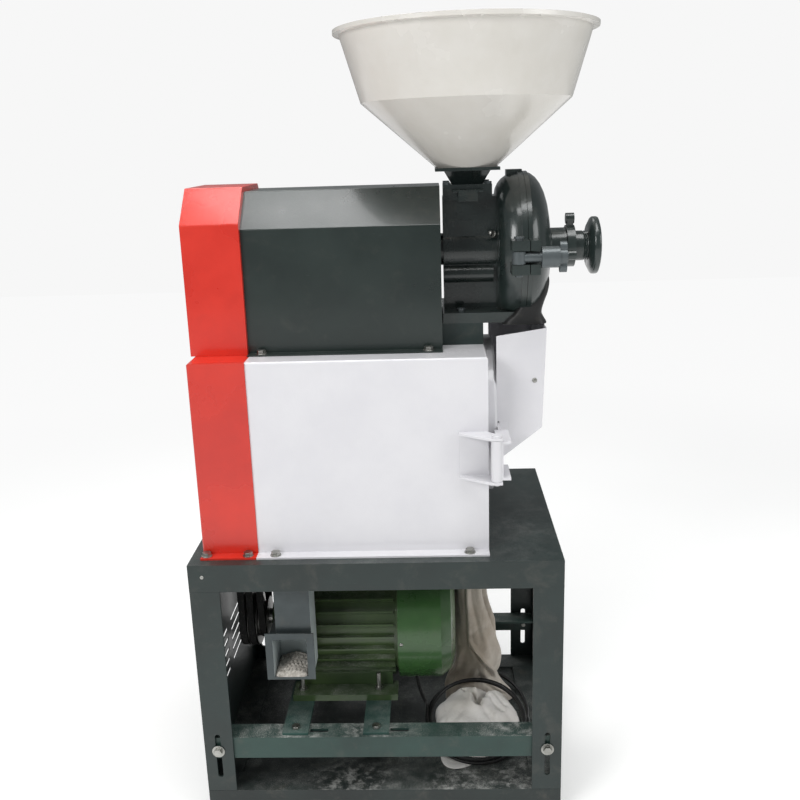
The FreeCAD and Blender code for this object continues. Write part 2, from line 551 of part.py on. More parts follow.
def sieve_door():
    """Round dished door with the feed opening, its hinge strap, and the chute that it carries."""
    inner = "box_right + 0.3"
    outer = "(box_right + 0.3 + door_deep)"
    dish = turned("door_dish", "x",
                  [(outer + " - door_t", "0"), (outer, "0"), (outer, "door_r - 4"), (outer + " - 4", "door_r"),
                   (inner, "door_r"), (inner, "door_r - door_t"), (outer + " - door_t", "door_r - door_t")],
                  z="sieve_axis")
    feed = box("feed_opening", (outer + " - 10", outer + " + 1"), ("-feed_half", "feed_half"),
               ("sieve_axis - 30", "sieve_axis + 88"))
    low, high = "table_h + barrel_low", "table_h + barrel_low + barrel_len"
    barrel = rod("door_barrel", "+z", "barrel_r", "barrel_len", "hinge_x", "hinge_y", low)
    strap = box("door_strap", (outer, outer + " + 4"), ("hinge_y - 4", "-104"), (low + " + 2", high + " - 2"))
    ears = [box("door_ear", ("hinge_x", outer + " + 16"), ("hinge_y - 4", "-150"), (z, z + " + 4"))
            for z in (low + " + 2", high + " - 6")]
    pin_bore = rod("door_bore", "+z", "hinge_pin_r + fit_gap", "barrel_len + 2", "hinge_x", "hinge_y", low + " - 1")
    node("sieve_door", cut("sieve_door", fuse("door_pieces", dish, barrel, strap, *ears), feed, pin_bore))
    face = outer
    side = [(face, "table_h + chute_top_left"), ("chute_right", "table_h + chute_top_right"),
            ("chute_right - chute_lean", "table_h + chute_low_right"), ("chute_foot", "table_h + chute_low_left"),
            (face, "table_h + chute_low_left + 4")]
    block = extruded("chute_block", "XZ_Plane", side, ("-chute_half", "chute_half"))
    room = [(face + " - 1", "table_h + chute_top_left + 9"),
            ("chute_right - sheet_t", "table_h + chute_top_right + 9"),
            ("chute_right - sheet_t", "table_h + chute_top_right"),
            ("chute_right - chute_lean - sheet_t", "table_h + chute_low_right + 1"),
            ("chute_foot", "table_h + chute_low_left + 3"), (face + " - 1", "table_h + chute_low_left + 6")]
    hollow = extruded("chute_hollow", "XZ_Plane", room, ("-chute_half + sheet_t", "chute_half - sheet_t"))
    strap_room = box("chute_strap_room", (outer + " - 1", outer + " + 20"), ("hinge_y - 6", "-chute_half + 9"),
                     (low, high))
    node("door_chute", cut("door_chute", block, hollow, strap_room))


def door_hinge_bracket():
    """Bracket on the box front: a back plate with two ears that hold the hinge pin."""
    low, high = "table_h + bracket_low", "table_h + bracket_low + bracket_tall"
    left = "box_right - bracket_w"
    plate = box("bracket_plate", (left, "box_right"), ("-box_half - 3", "-box_half"), (low, high))
    corner = [(left, "-box_half - 3"), ("box_right", "-box_half - 3"), ("hinge_x + 9", "hinge_y + 8"),
              ("hinge_x + 9", "hinge_y - 9"), ("hinge_x - 10", "hinge_y - 9"), (left, "-box_half - 8")]
    ears = [extruded("bracket_ear", "XY_Plane", corner, (z, z + " + hinge_ear_t"))
            for z in (low, high + " - hinge_ear_t")]
    bore = rod("bracket_bore", "+z", "hinge_pin_r + seat_gap", "bracket_tall + 2", "hinge_x", "hinge_y", low + " - 1")
    bracket = cut("bracket", fuse("bracket_pieces", plate, *ears), bore)
    pin = fuse("hinge_pin", rod("pin_shank", "+z", "hinge_pin_r", "bracket_tall + 6", "hinge_x", "hinge_y", low + " - 3"),
               rod("pin_head", "+z", "hinge_pin_r + 3", "4", "hinge_x", "hinge_y", high))
    node("door_hinge_bracket", group("door_hinge_bracket", bracket, pin))


def bran_spout():
    """Square duct under the table with a flanged mouth that faces the front."""
    half = "(spout_w / 2)"
    top = "table_h - top_t"
    duct = box("spout_duct", ("spout_x - " + half, "spout_x + " + half),
               ("spout_y - " + half, "spout_y + " + half), ("spout_low", top))
    room = box("spout_room", ("spout_x - %s + spout_t" % half, "spout_x + %s - spout_t" % half),
               ("spout_y - %s + spout_t" % half, "spout_y + %s - spout_t" % half),
               ("spout_low + spout_t", top + " + 1"))
    front = "spout_y - %s - mouth_out" % half
    mouth_x = ("mouth_x - mouth_w / 2", "mouth_x + mouth_w / 2")
    mouth = box("spout_mouth", mouth_x, (front, "spout_y + " + half), ("spout_low", "spout_low + mouth_tall"))
    lip = box("spout_lip", ("mouth_x - mouth_w / 2 - mouth_lip", "mouth_x + mouth_w / 2 + mouth_lip"),
              (front + " - 3", front), ("spout_low", "spout_low + mouth_tall + mouth_lip"))
    mouth_room = box("mouth_room", ("mouth_x - mouth_w / 2 + 7", "mouth_x + mouth_w / 2 - 7"),
                     (front + " - 5", "spout_y + %s - spout_t" % half),
                     ("spout_low + 6", "spout_low + mouth_tall - 6"))
    node("bran_spout", cut("bran_spout", fuse("spout_pieces", duct, mouth, lip), room, mouth_room))


# Motor carriage

def motor_rails():
    """Two angles between the legs that carry the motor and slide up to tighten the belts."""
    inside = "(half_w - angle_t - guard_t - 0.5)"
    wall = box("rail_wall", ("-" + inside, inside), ("-rail_out", "-rail_out + rail_t"),
               ("rail_top - rail_w", "rail_top"))
    ledge = box("rail_ledge", ("-" + inside, inside), ("-rail_out", "-rail_out + rail_w"),
                ("rail_top - rail_t", "rail_top"))
    tools = [rod("rail_bolt_hole", "+y", "m_eight_hole", "rail_t + 2", x, "-rail_out - 1", "tension_bolt_z")
             for x in ("-slot_x", "slot_x")]
    for x in ("strap_left", "strap_right"):
        tools.append(rod("strap_hole", "+z", "m_eight_hole", "rail_t + 2", x, "-strap_y", "rail_top - rail_t - 1"))
        tools.append(box("rail_slot", (x + " + 24", x + " + 24 + strap_slot"), ("-strap_y - 4.5", "-strap_y + 4.5"),
                         ("rail_top - rail_t - 1", "rail_top + 1")))
    front = cut("rail_front", fuse("rail_pieces", wall, ledge), *tools)
    node("motor_rails", group("motor_rails", front, mirror("rail_rear", front, y_way)))


def motor_straps():
    """Two flat straps across the rails, bolted to them and drilled for the motor's feet."""
    straps = []
    for x in ("strap_left", "strap_right"):
        flat = box("strap_flat", (x + " - strap_w / 2", x + " + strap_w / 2"), ("-rail_out + 6", "rail_out - 6"),
                   ("rail_top", "rail_top + strap_t"))
        holes = [rod("strap_bolt_hole", "+z", "m_eight_hole", "strap_t + 2", x, y, "rail_top - 1")
                 for y in ("-strap_y", "strap_y", "-foot_hole_y", "foot_hole_y")]
        straps.append(cut("strap", flat, *holes))
    node("motor_straps", group("motor_straps", *straps))


def carriage_bolts():
    """Clamp bolts in the leg slots, strap bolts, and long studs through the motor's feet."""
    pieces = []
    for x in ("-slot_x", "slot_x"):
        for way, y in (("-y", "-half_d - washer_t - slide_gap"), ("+y", "half_d + washer_t + slide_gap")):
            bolt = hex_bolt("clamp_bolt", way, "angle_t + rail_t + 12", x, y, "tension_bolt_z")
            washer = rod("clamp_washer", opposite[way], "washer_r + 2", "washer_t", x, y, "tension_bolt_z")
            pieces.append(fuse("clamp_bolt_set", bolt, washer))
    for x in ("strap_left", "strap_right"):
        for y in ("-strap_y", "strap_y"):
            pieces.append(hex_bolt("strap_bolt", "+z", "strap_t + rail_t + 8", x, y, "rail_top + strap_t"))
        for y in ("-foot_hole_y", "foot_hole_y"):
            top = "rail_top + strap_t + foot_t"
            stud = rod("motor_stud", "+z", "m_eight", "70", x, y, "rail_top - 20")
            nut = hex_bolt("stud_nut", "+z", "1", x, y, top)
            low_nut = hex_bolt("stud_low_nut", "-z", "1", x, y, "rail_top")
            pieces.append(fuse("motor_stud_set", stud, nut, low_nut))
    node("carriage_bolts", group("carriage_bolts", *pieces))


def motor_housing():
    """Finned barrel with feet, bored for the shaft; its fins are one fin repeated round the axis."""
    barrel = rod("motor_barrel", "+x", "body_r", "barrel_w", "foot_x", "0", "motor_axis")
    fins = []
    for step in range(int(value("fin_count"))):
        fin = box("motor_fin", ("foot_x + 4", "barrel_right - 4"), ("-fin_t / 2", "fin_t / 2"), ("0", "fin_out + 6"))
        turn = FreeCAD.Rotation(vec(1, 0, 0), 360.0 * step / value("fin_count"))
        fin.Placement = FreeCAD.Placement(vec(0, 0, 0), turn)
        angle = "360 * %d / fin_count" % step
        bind_base(fin, "foot_x + 4",
                  "-(body_r - 6) * sin(%s) - fin_t / 2 * cos(%s)" % (angle, angle),
                  "motor_axis + (body_r - 6) * cos(%s) - fin_t / 2 * sin(%s)" % (angle, angle))
        fins.append(fin)
    low = "motor_axis - shaft_height"
    feet = []
    for y_span in (("-foot_half", "-foot_half + 46"), ("foot_half - 46", "foot_half")):
        feet.append(box("motor_foot", ("foot_x", "barrel_right"), y_span, (low, low + " + foot_t")))
    for y_span in (("-80", "-72"), ("72", "80")):
        feet.append(box("motor_web", ("foot_x + 10", "barrel_right - 10"), y_span, (low, "motor_axis - 55")))
    saddle = box("terminal_saddle", ("box_x - 36", "box_x + 36"), ("-34", "34"),
                 ("motor_axis + body_r - 20", "motor_axis + body_r + fin_out"))
    holes = [rod("foot_hole", "+z", "m_eight_hole", "foot_t + 2", x, y, low + " - 1")
             for x in ("strap_left", "strap_right") for y in ("-foot_hole_y", "foot_hole_y")]
    bore = rod("motor_bore", "+x", "motor_shaft_r + 8", "barrel_w + 2", "foot_x - 1", "0", "motor_axis")
    under = box("motor_under", ("foot_x - 2", "barrel_right + 2"), ("-foot_half", "foot_half"), (low + " - 30", low))
    solid = fuse("motor_casting", barrel, saddle, *feet, *fins)
    node("motor_housing", cut("motor_housing", solid, bore, under, *holes))


def motor_ends():
    """End shields on both ends of the barrel and the domed fan cover with its grille slots."""
    drive = turned("drive_shield", "x",
                   [("foot_x", "motor_shaft_r + fit_gap"), ("foot_x", "body_r + 6"), ("foot_x - 12", "body_r + 6"),
                    ("foot_x - 22", "body_r - 10"), ("shoulder_x + 10", "shield_boss_r"),
                    ("shoulder_x", "shield_boss_r - 3"), ("shoulder_x", "motor_shaft_r + fit_gap")], z="motor_axis")
    rear = turned("rear_shield", "x",
                  [("barrel_right", "motor_shaft_r + fit_gap"), ("barrel_right", "body_r + 6"),
                   ("barrel_right + 12", "body_r + 6"), ("barrel_right + 22", "shield_boss_r"),
                   ("barrel_right + 22", "motor_shaft_r + fit_gap")], z="motor_axis")
    node("motor_end_shields", group("motor_end_shields", drive, rear))
    start, end = "barrel_right + 3", "(barrel_right + 3 + fan_cover_w)"
    skin = turned("fan_cover_skin", "x",
                  [(start, "body_r + 6 + seat_gap"), (start, "fan_cover_r"), (end + " - 26", "fan_cover_r"),
                   (end + " - 8", "fan_cover_r - 14"), (end, "fan_cover_r - 40"), (end, "0"),
                   (end + " - 2.5", "0"), (end + " - 2.5", "fan_cover_r - 42"), (end + " - 10", "fan_cover_r - 18"),
                   (end + " - 27", "fan_cover_r - 3"), (start + " + 10", "fan_cover_r - 3"),
                   (start + " + 10", "body_r + 6 + seat_gap")], z="motor_axis")
    slots = []
    for step in range(-3, 4):
        z = "motor_axis + fan_cover_r * %.3f" % (0.123 * step)
        wide = "fan_cover_r * %.3f" % (0.386 - 0.044 * abs(step))
        slots.append(box("fan_slot", (end + " - 12", end + " + 1"), ("-" + wide, wide), (z + " - 3", z + " + 3")))
    node("fan_cover", cut("fan_cover", skin, *slots))


def motor_rotor():
    """Shaft, cooling fan and the pulley with two main grooves and one smaller sieve groove."""
    left = "shoulder_x - motor_shaft_out"
    node("motor_shaft", rod("motor_shaft", "+x", "motor_shaft_r", "(barrel_right + 60) - (%s)" % left, left,
                            "0", "motor_axis"))
    hub_x = "barrel_right + 30"
    blades = [rod("fan_hub", "+x", "motor_shaft_r + 12", "28", hub_x, "0", "motor_axis")]
    blades.append(rod("fan_plate", "+x", "fan_r", "3", hub_x, "0", "motor_axis"))
    for spin in range(3):
        blade = box("fan_blade", ("0", "26"), ("-fan_r", "fan_r"), ("-1.5", "1.5"))
        blade.Placement = FreeCAD.Placement(vec(0, 0, 0), FreeCAD.Rotation(vec(1, 0, 0), 60.0 * spin))
        angle = "%d" % (60 * spin)
        bind_base(blade, hub_x, "-fan_r * cos(%s) + 1.5 * sin(%s)" % (angle, angle),
                  "motor_axis - fan_r * sin(%s) - 1.5 * cos(%s)" % (angle, angle))
        blades.append(blade)
    bore = rod("fan_bore", "+x", "motor_shaft_r + seat_gap", "40", hub_x + " - 5", "0", "motor_axis")
    node("motor_fan", cut("motor_fan", fuse("fan_pieces", *blades), bore))
    grooves = ["sieve_groove_x", "main_groove_x", "main_groove_x - groove_pitch"]
    radii = ["motor_sieve_r", "motor_main_r", "motor_main_r"]
    node("motor_pulley", pulley("motor_pulley", grooves, radii, "motor_shaft_r", "motor_axis"))


def terminal_box():
    """Cable box on the barrel with an overhanging lid, and the gland in its back wall."""
    low = "motor_axis + body_r + fin_out"
    case = box("terminal_case", ("box_x - terminal_w / 2 + 3", "box_x + terminal_w / 2 - 3"),
               ("-terminal_d / 2 + 3", "terminal_d / 2 - 3"), (low, low + " + terminal_h - 10"))
    lid = box("terminal_lid", ("box_x - terminal_w / 2", "box_x + terminal_w / 2"),
              ("-terminal_d / 2", "terminal_d / 2"), (low + " + terminal_h - 10", low + " + terminal_h"))
    node("terminal_box", fuse("terminal_box", case, lid))
    wall = "terminal_d / 2 - 3"
    z = low + " + 16"
    nut = doc.addObject("Part::Prism", "gland_nut")
    nut.Polygon = 6
    nut.Placement = FreeCAD.Placement(vec(0, 0, 0), turns["+y"])
    bind(nut, {"Circumradius": "gland_r + 3", "Height": "7"})
    bind_base(nut, "box_x + 20", wall, z)
    dome = rod("gland_dome", "+y", "gland_r", "18", "box_x + 20", wall, z)
    node("cable_gland", fuse("cable_gland", nut, dome))


# Belts

def pulley(hint, groove_xs, pitch_radii, bore, axis_z):
    """A grooved wheel: each groove has sloping flanks and stands a little proud of its belt."""
    points = []
    ends = ["%s + 8" % groove_xs[0], "%s - 8" % groove_xs[-1]]
    points.append((ends[0], bore + " + seat_gap"))
    points.append((ends[0], pitch_radii[0] + " + 2"))
    for number, (x, pitch) in enumerate(zip(groove_xs, pitch_radii)):
        points += [(x + " + 7", pitch + " + 2"), (x + " + 5.8", pitch + " - 7"),
                   (x + " - 5.8", pitch + " - 7"), (x + " - 7", pitch + " + 2")]
        if number + 1 < len(groove_xs) and pitch_radii[number + 1] != pitch:
            points.append((x + " - 9", pitch + " + 2"))
            points.append((x + " - 9", pitch_radii[number + 1] + " + 2"))
    points.append((ends[1], pitch_radii[-1] + " + 2"))
    points.append((ends[1], bore + " + seat_gap"))
    return turned(hint, "x", points, z=axis_z)


def belt_face(radius_a, z_a, radius_b, z_b):
    """The face inside a belt line: two arcs and their common tangents, in the YZ plane at x = 0."""
    tilt = math.asin((radius_b - radius_a) / (z_b - z_a))
    side, rise = math.cos(tilt), math.sin(tilt)
    low_right = vec(0, radius_a * side, z_a - radius_a * rise)
    high_right = vec(0, radius_b * side, z_b - radius_b * rise)
    low_left, high_left = vec(0, -low_right.y, low_right.z), vec(0, -high_right.y, high_right.z)
    edges = [Part.Arc(low_left, vec(0, 0, z_a - radius_a), low_right).toShape(),
             Part.LineSegment(low_right, high_right).toShape(),
             Part.Arc(high_right, vec(0, 0, z_b + radius_b), high_left).toShape(),
             Part.LineSegment(high_left, low_left).toShape()]
    return Part.Face(Part.Wire(edges))


def belt(x, radius_a, z_a, radius_b, z_b):
    """One belt as the space between two belt lines, as wide as the belt."""
    inner, outer = -value("belt_t") * 0.55, value("belt_t") * 0.45
    lines = [belt_face(value(radius_a) + way, value(z_a), value(radius_b) + way, value(z_b))
             for way in (outer, inner)]
    width = vec(2 * value("belt_half"), 0, 0)
    loop = lines[0].extrude(width).cut(lines[1].extrude(width))
    loop.translate(vec(value(x) - value("belt_half"), 0, 0))
    return loop


def belts():
    """Two main belts up to the spindle and one inner belt to the sieve."""
    main = [belt(x, "motor_main_r", "motor_axis", "spindle_pitch_r", "spindle_axis")
            for x in ("main_groove_x", "main_groove_x - groove_pitch")]
    spindle_belts = doc.addObject("Part::Feature", "spindle_belts")
    spindle_belts.Shape = Part.Compound(main)
    node("spindle_belts", spindle_belts)
    sieve_belt = doc.addObject("Part::Feature", "sieve_belt")
    sieve_belt.Shape = belt("sieve_groove_x", "motor_sieve_r", "motor_axis", "sieve_pitch_r", "sieve_axis")
    node("sieve_belt", sieve_belt)


# Disc mill

def spindle_stand():
    """Two square tubes along the box top and the bearing stand that they carry."""
    pieces = []
    for y in ("-stand_y", "stand_y"):
        outside = box("stand_tube", ("box_left + 10", "box_right - 2"), (y + " - stand_h / 2", y + " + stand_h / 2"),
                      ("box_top", "foot_low"))
        inside = box("stand_room", ("box_left + 9", "box_right - 1"),
                     (y + " - stand_h / 2 + stand_wall", y + " + stand_h / 2 - stand_wall"),
                     ("box_top + stand_wall", "foot_low - stand_wall"))
        holes = [rod("stand_hole", "+z", "m_eight_hole", "stand_wall + 2", x, y, "foot_low - stand_wall - 1")
                 for x in ("foot_left + foot_bolt_in",)]
        pieces.append(cut("stand_beam", outside, inside, *holes))
    low, seat = "foot_low", "spindle_axis - 43"
    plates = [box("pedestal_top", ("-178", "-122"), ("-84", "84"), (seat + " - 8", seat)),
              box("pedestal_base", ("-178", "-122"), ("-84", "84"), (low, low + " + 8"))]
    for y in ("-stand_y", "0", "stand_y"):
        plates.append(box("pedestal_wall", ("-174", "-126"), (y + " - 4", y + " + 4"), (low, seat)))
    pieces.append(fuse("pedestal", *plates))
    node("spindle_stand", group("spindle_stand", *pieces))


def spindle_bearings():
    """Pillow block on the pedestal and two ring bearings in the mill's tube."""
    seat = "spindle_axis - 43"
    base = box("pillow_base", ("-174", "-126"), ("-82", "82"), (seat, seat + " + 16"))
    head = rod("pillow_head", "+x", "42", "38", "-169", "0", "spindle_axis")
    bore = rod("pillow_bore", "+x", "spindle_r + fit_gap", "60", "-180", "0", "spindle_axis")
    pieces = [cut("pillow_block", fuse("pillow_pieces", base, head), bore)]
    for x in ("tube_left + 6", "throat_x - throat_w / 2 - 22"):
        ring = rod("bearing_ring", "+x", "tube_r - 5", "15", x, "0", "spindle_axis")
        hole = rod("bearing_hole", "+x", "spindle_r + fit_gap", "17", x + " - 1", "0", "spindle_axis")
        pieces.append(cut("ring_bearing", ring, hole))
    node("spindle_bearings", group("spindle_bearings", *pieces))


def mill_ear(x_span, y_low, y_high):
    """An upper and a lower clamp ear with a gap between them for the swing bolt."""
    spans = (("spindle_axis - ear_gap / 2 - ear_t", "spindle_axis - ear_gap / 2"),
             ("spindle_axis + ear_gap / 2", "spindle_axis + ear_gap / 2 + ear_t"))
    return [box("mill_ear", x_span, (y_low, y_high), span) for span in spans]


def grinder_body():
    """Casting: foot, web, bearing tube, feed throat and the left half of the grinding chamber."""
    axis = "spindle_axis"
    foot = box("mill_foot", ("foot_left", "foot_right"), ("-foot_plate_half", "foot_plate_half"),
               ("foot_low", "foot_low + foot_plate_t"))
    block = box("mill_block", ("foot_left + 3", "bowl_left + 4"), ("-block_half", "block_half"),
                ("foot_low + 1", "throat_z - 4"))
    barrel = rod("mill_barrel", "+x", "barrel_out_r", "bowl_left + 1 - foot_left", "foot_left + 3", "0", axis)
    ribs = [rod("mill_rib", "+x", "mill_rib_r", "bowl_left - foot_left - 8", "foot_left + 3", y, axis + " - rib_drop")
            for y in ("-block_half + 4", "block_half - 4")]
    tube = rod("mill_tube", "+x", "tube_r", "bowl_left + 2 - tube_left", "tube_left", "0", axis)
    bowl = turned("mill_bowl", "x",
                  [("bowl_left", "0"), ("bowl_left", "bowl_r - 33"), ("bowl_left + 1.5", "bowl_r - 25"),
                   ("bowl_left + 5", "bowl_r - 18"), ("bowl_left + 10", "bowl_r - 12"),
                   ("bowl_left + 17", "bowl_r - 7"), ("bowl_left + 25", "bowl_r - 3.5"),
                   ("seam_x - 9", "bowl_r - 2"), ("seam_x - 9", "bowl_r"),
                   ("seam_x", "bowl_r"), ("seam_x", "0")], z=axis)
    throat = box("mill_throat", ("throat_x - throat_w / 2 - 7", "throat_x + throat_w / 2 + 7"),
                 ("-throat_half - 7", "throat_half + 7"), (axis, "throat_z"))
    rim = box("mill_throat_rim", ("throat_x - throat_flange / 2", "throat_x + throat_flange / 2"),
              ("-throat_flange / 2", "throat_flange / 2"), ("throat_z - 9", "throat_z"))
    front_ears = mill_ear(("ear_left", "seam_x - seam_gap"), "ear_y - ear_tip", "-bowl_r + 11")
    rear_ears = mill_ear(("ear_left", "seam_x - seam_gap"), "bowl_r - 11", "-ear_y + 12")
    lug = box("mill_top_lug", ("seam_x - 26", "seam_x"), ("-12", "12"), (axis + " + bowl_r - 8", axis + " + bowl_r + 3"))
    solid = fuse("mill_casting", foot, block, barrel, *ribs, tube, bowl, throat, rim, lug, *front_ears, *rear_ears)
    chamber = turned("mill_chamber", "x",
                     [("bowl_left + 9", "0"), ("bowl_left + 9", "bowl_r - 40"), ("bowl_left + 15", "bowl_r - 24"),
                      ("bowl_left + 24", "bowl_r - 4 - bowl_wall"), ("seam_x + 1", "bowl_r - 4 - bowl_wall"),
                      ("seam_x + 1", "0")], z=axis)
    core = box("mill_core", ("foot_left + 11", "bowl_left - 6"), ("-block_half + 8", "block_half - 8"),
               ("foot_low - 1", axis + " - 50"))
    feed = rod("auger_chamber", "+x", "auger_chamber_r", "bowl_left + 12 - (throat_x - throat_w / 2)",
               "throat_x - throat_w / 2", "0", axis)
    way_in = box("throat_way", ("throat_x - throat_w / 2", "throat_x + throat_w / 2"),
                 ("-throat_half", "throat_half"), (axis, "throat_z + 1"))
    seat = rod("bearing_seat", "+x", "tube_r - 5 + seat_gap", "throat_x - throat_w / 2 - 5 - tube_left",
               "tube_left - 1", "0", axis)
    shaft_way = rod("shaft_way", "+x", "spindle_r + 0.6", "bowl_left - tube_left", "tube_left - 2", "0", axis)
    below = box("bowl_below", ("foot_right + 0.5", "seam_x + 2"), ("-120", "120"), (axis + " - 200", "floor_z"))
    front_low = box("bowl_left_below", ("bowl_left + 4", "foot_right + 2"), ("-120", "120"),
                    ("foot_low + foot_plate_t", "floor_z"))
    pin_holes = [rod("swing_pin_hole", "+z", "swing_pin_r + seat_gap", "80", x, y, axis + " - 40")
                 for x, y in (("swing_pin_x", "ear_y"), ("swing_pin_x", "-ear_y"))]
    foot_holes = [rod("mill_foot_hole", "+z", "m_eight_hole", "foot_plate_t + 2", x, y, "foot_low - 1")
                  for x in ("foot_left + foot_bolt_in", "foot_right - foot_slot_in")
                  for y in ("-stand_y", "stand_y")]
    foot_holes += [box("mill_foot_slot", ("foot_right - foot_slot_in", "foot_right - foot_slot_in + 12"),
                       (y + " - m_eight_hole", y + " + m_eight_hole"),
                       ("foot_low - 1", "foot_low + foot_plate_t + 1"))
                   for y in ("-stand_y", "stand_y")]
    neck_holes = [rod("throat_hole", "+z", "m_eight_hole - 1", "12", x, y, "throat_z - 10")
                  for x, y in throat_bolt_spots()]
    node("grinder_body", cut("grinder_body", solid, chamber, core, feed, way_in, seat, shaft_way, below, front_low,
                             *pin_holes, *foot_holes, *neck_holes))


def throat_bolt_spots():
    """Corners of the throat flange where the gate frame is screwed on."""
    return [("throat_x %s (throat_flange / 2 - 6)" % sx, "%s(throat_flange / 2 - 6)" % sy)
            for sx in ("-", "+") for sy in ("-", "")]


def grinder_cover():
    """Right half of the chamber: a dished cover with a boss for the adjusting stem."""
    axis = "spindle_axis"
    dish = turned("cover_dish", "x",
                  [("cover_left", "0"), ("cover_left", "bowl_r"), ("cover_left + 7", "bowl_r"),
                   ("cover_left + 7", "bowl_r - 2"), ("cover_left + 13", "bowl_r - 4"), ("cover_left + 21", "bowl_r - 10"),
                   ("cover_left + 28", "bowl_r - 19"), ("cover_left + 34", "bowl_r - 31"),
                   ("cover_left + 38.5", "bowl_r - 45"), ("cover_left + 41.5", "bowl_r - 60"),
                   ("cover_nose - 1", "bowl_r - 76"), ("cover_nose", "boss_r + 9"),
                   ("cover_nose", "boss_r + 5"), ("cover_nose + 4", "boss_r"), ("boss_end", "boss_r"),
                   ("boss_end", "0")], z=axis)
    front_ears = mill_ear(("cover_left", "ear_right"), "ear_y - ear_tip", "-bowl_r + 11")
    rear_ears = mill_ear(("cover_left", "ear_right"), "bowl_r - 11", "-ear_y + 12")
    room = turned("cover_room", "x",
                  [("cover_left - 1", "0"), ("cover_left - 1", "bowl_r - 4 - bowl_wall"),
                   ("cover_left + 12", "bowl_r - 4 - bowl_wall"), ("cover_left + 20", "bowl_r - 22"),
                   ("cover_nose - 14", "bowl_r - 44"), ("cover_nose - 11", "62"), ("cover_nose - 10", "40"),
                   ("cover_nose - 10", "0")], z=axis)
    plunger_way = rod("plunger_way", "+x", "plunger_r + fit_gap", "20", "cover_nose - 14", "0", axis)
    stem_way = rod("stem_way", "+x", "stem_r + fit_gap", "boss_end - cover_nose + 5", "cover_nose", "0", axis)
    below = box("cover_below", ("cover_left - 2", "boss_end + 2"), ("-120", "120"), (axis + " - 200", "floor_z"))
    pin_hole = rod("cover_hinge_hole", "+z", "swing_pin_r + seat_gap", "80", "ear_right - 8", "-ear_y", axis + " - 40")
    open_shell = cut("cover_open_below", cut("cover_shell", dish, room), below)
    casting = fuse("cover_casting", open_shell, *front_ears, *rear_ears)
    node("grinder_cover", cut("grinder_cover", casting, plunger_way, stem_way, pin_hole))


def discharge_skirt():
    """Sheet frame that flares out below the chamber and under the end of the foot, above the chute."""
    low, rim, high = "foot_low - 3", "foot_low - skirt_gap", "floor_z - skirt_gap"
    left, right = "foot_right + 1.5", "cover_nose - 13"
    outer = [("bowl_left + 5", low), (right + " + skirt_lip", low), (right, high), (left, high),
             (left, rim), ("bowl_left + 5", rim)]
    inner = [("bowl_left + 5 + sheet_t", low + " - 1"), (right + " + skirt_lip - sheet_t", low + " - 1"),
             (right + " - sheet_t", high + " + 1"), ("bowl_left + 5 + sheet_t", high + " + 1")]
    skin = extruded("skirt_skin", "XZ_Plane", outer, ("-skirt_half", "skirt_half"))
    room = extruded("skirt_room", "XZ_Plane", inner, ("-skirt_half + sheet_t", "skirt_half - sheet_t"))
    node("discharge_skirt", cut("discharge_skirt", skin, room))


def spindle():
    """Spindle with the feed auger welded on, its pulley, and the moving disc at its end."""
    axis = "spindle_axis"
    end = "moving_disc_x + disc_t"
    core = rod("spindle_core", "+x", "spindle_r", "%s + 12 - spindle_left" % end, "spindle_left", "0", axis)
    nut = rod("spindle_nut", "+x", "spindle_nut_r", "9", end, "0", axis)
    flights = []
    for step in range(3):
        start = "throat_x - throat_w / 2 + 8 + %d * auger_pitch" % step
        flights.append(auger_flight(start, axis))
    node("spindle", fuse("spindle", core, nut, *flights))
    grooves = ["main_groove_x", "main_groove_x - groove_pitch"]
    node("spindle_pulley", pulley("spindle_pulley", grooves, ["spindle_pitch_r"] * 2, "spindle_r", axis))
    ring = turned("moving_disc_ring", "x",
                  [("moving_disc_x", "spindle_r + seat_gap"), ("moving_disc_x", "38"), ("moving_disc_x", "disc_r"),
                   (end, "disc_r"), (end, "40"), (end + " - 7", "34"), (end, "spindle_nut_r + 6"),
                   (end, "spindle_r + seat_gap")], z=axis)
    windows = []
    for step in range(4):
        angle = 45 + 90 * step
        windows.append(rod("disc_window", "+x", "7", "disc_t + 2", "moving_disc_x - 1",
                           "29 * cos(%d)" % angle, axis + " + 29 * sin(%d)" % angle))
    node("moving_disc", cut("moving_disc", ring, *windows))


def auger_flight(start, axis_z):
    """One turn of the auger, as a thin slanting disc across the shaft."""
    flight = doc.addObject("Part::Cylinder", "auger_flight")
    slant = FreeCAD.Rotation(vec(0, 1, 0), 90 - 16)
    flight.Placement = FreeCAD.Placement(vec(0, 0, 0), slant)
    bind(flight, {"Radius": "auger_r", "Height": "auger_t"})
    bind_base(flight, start, "0", axis_z)
    return flight


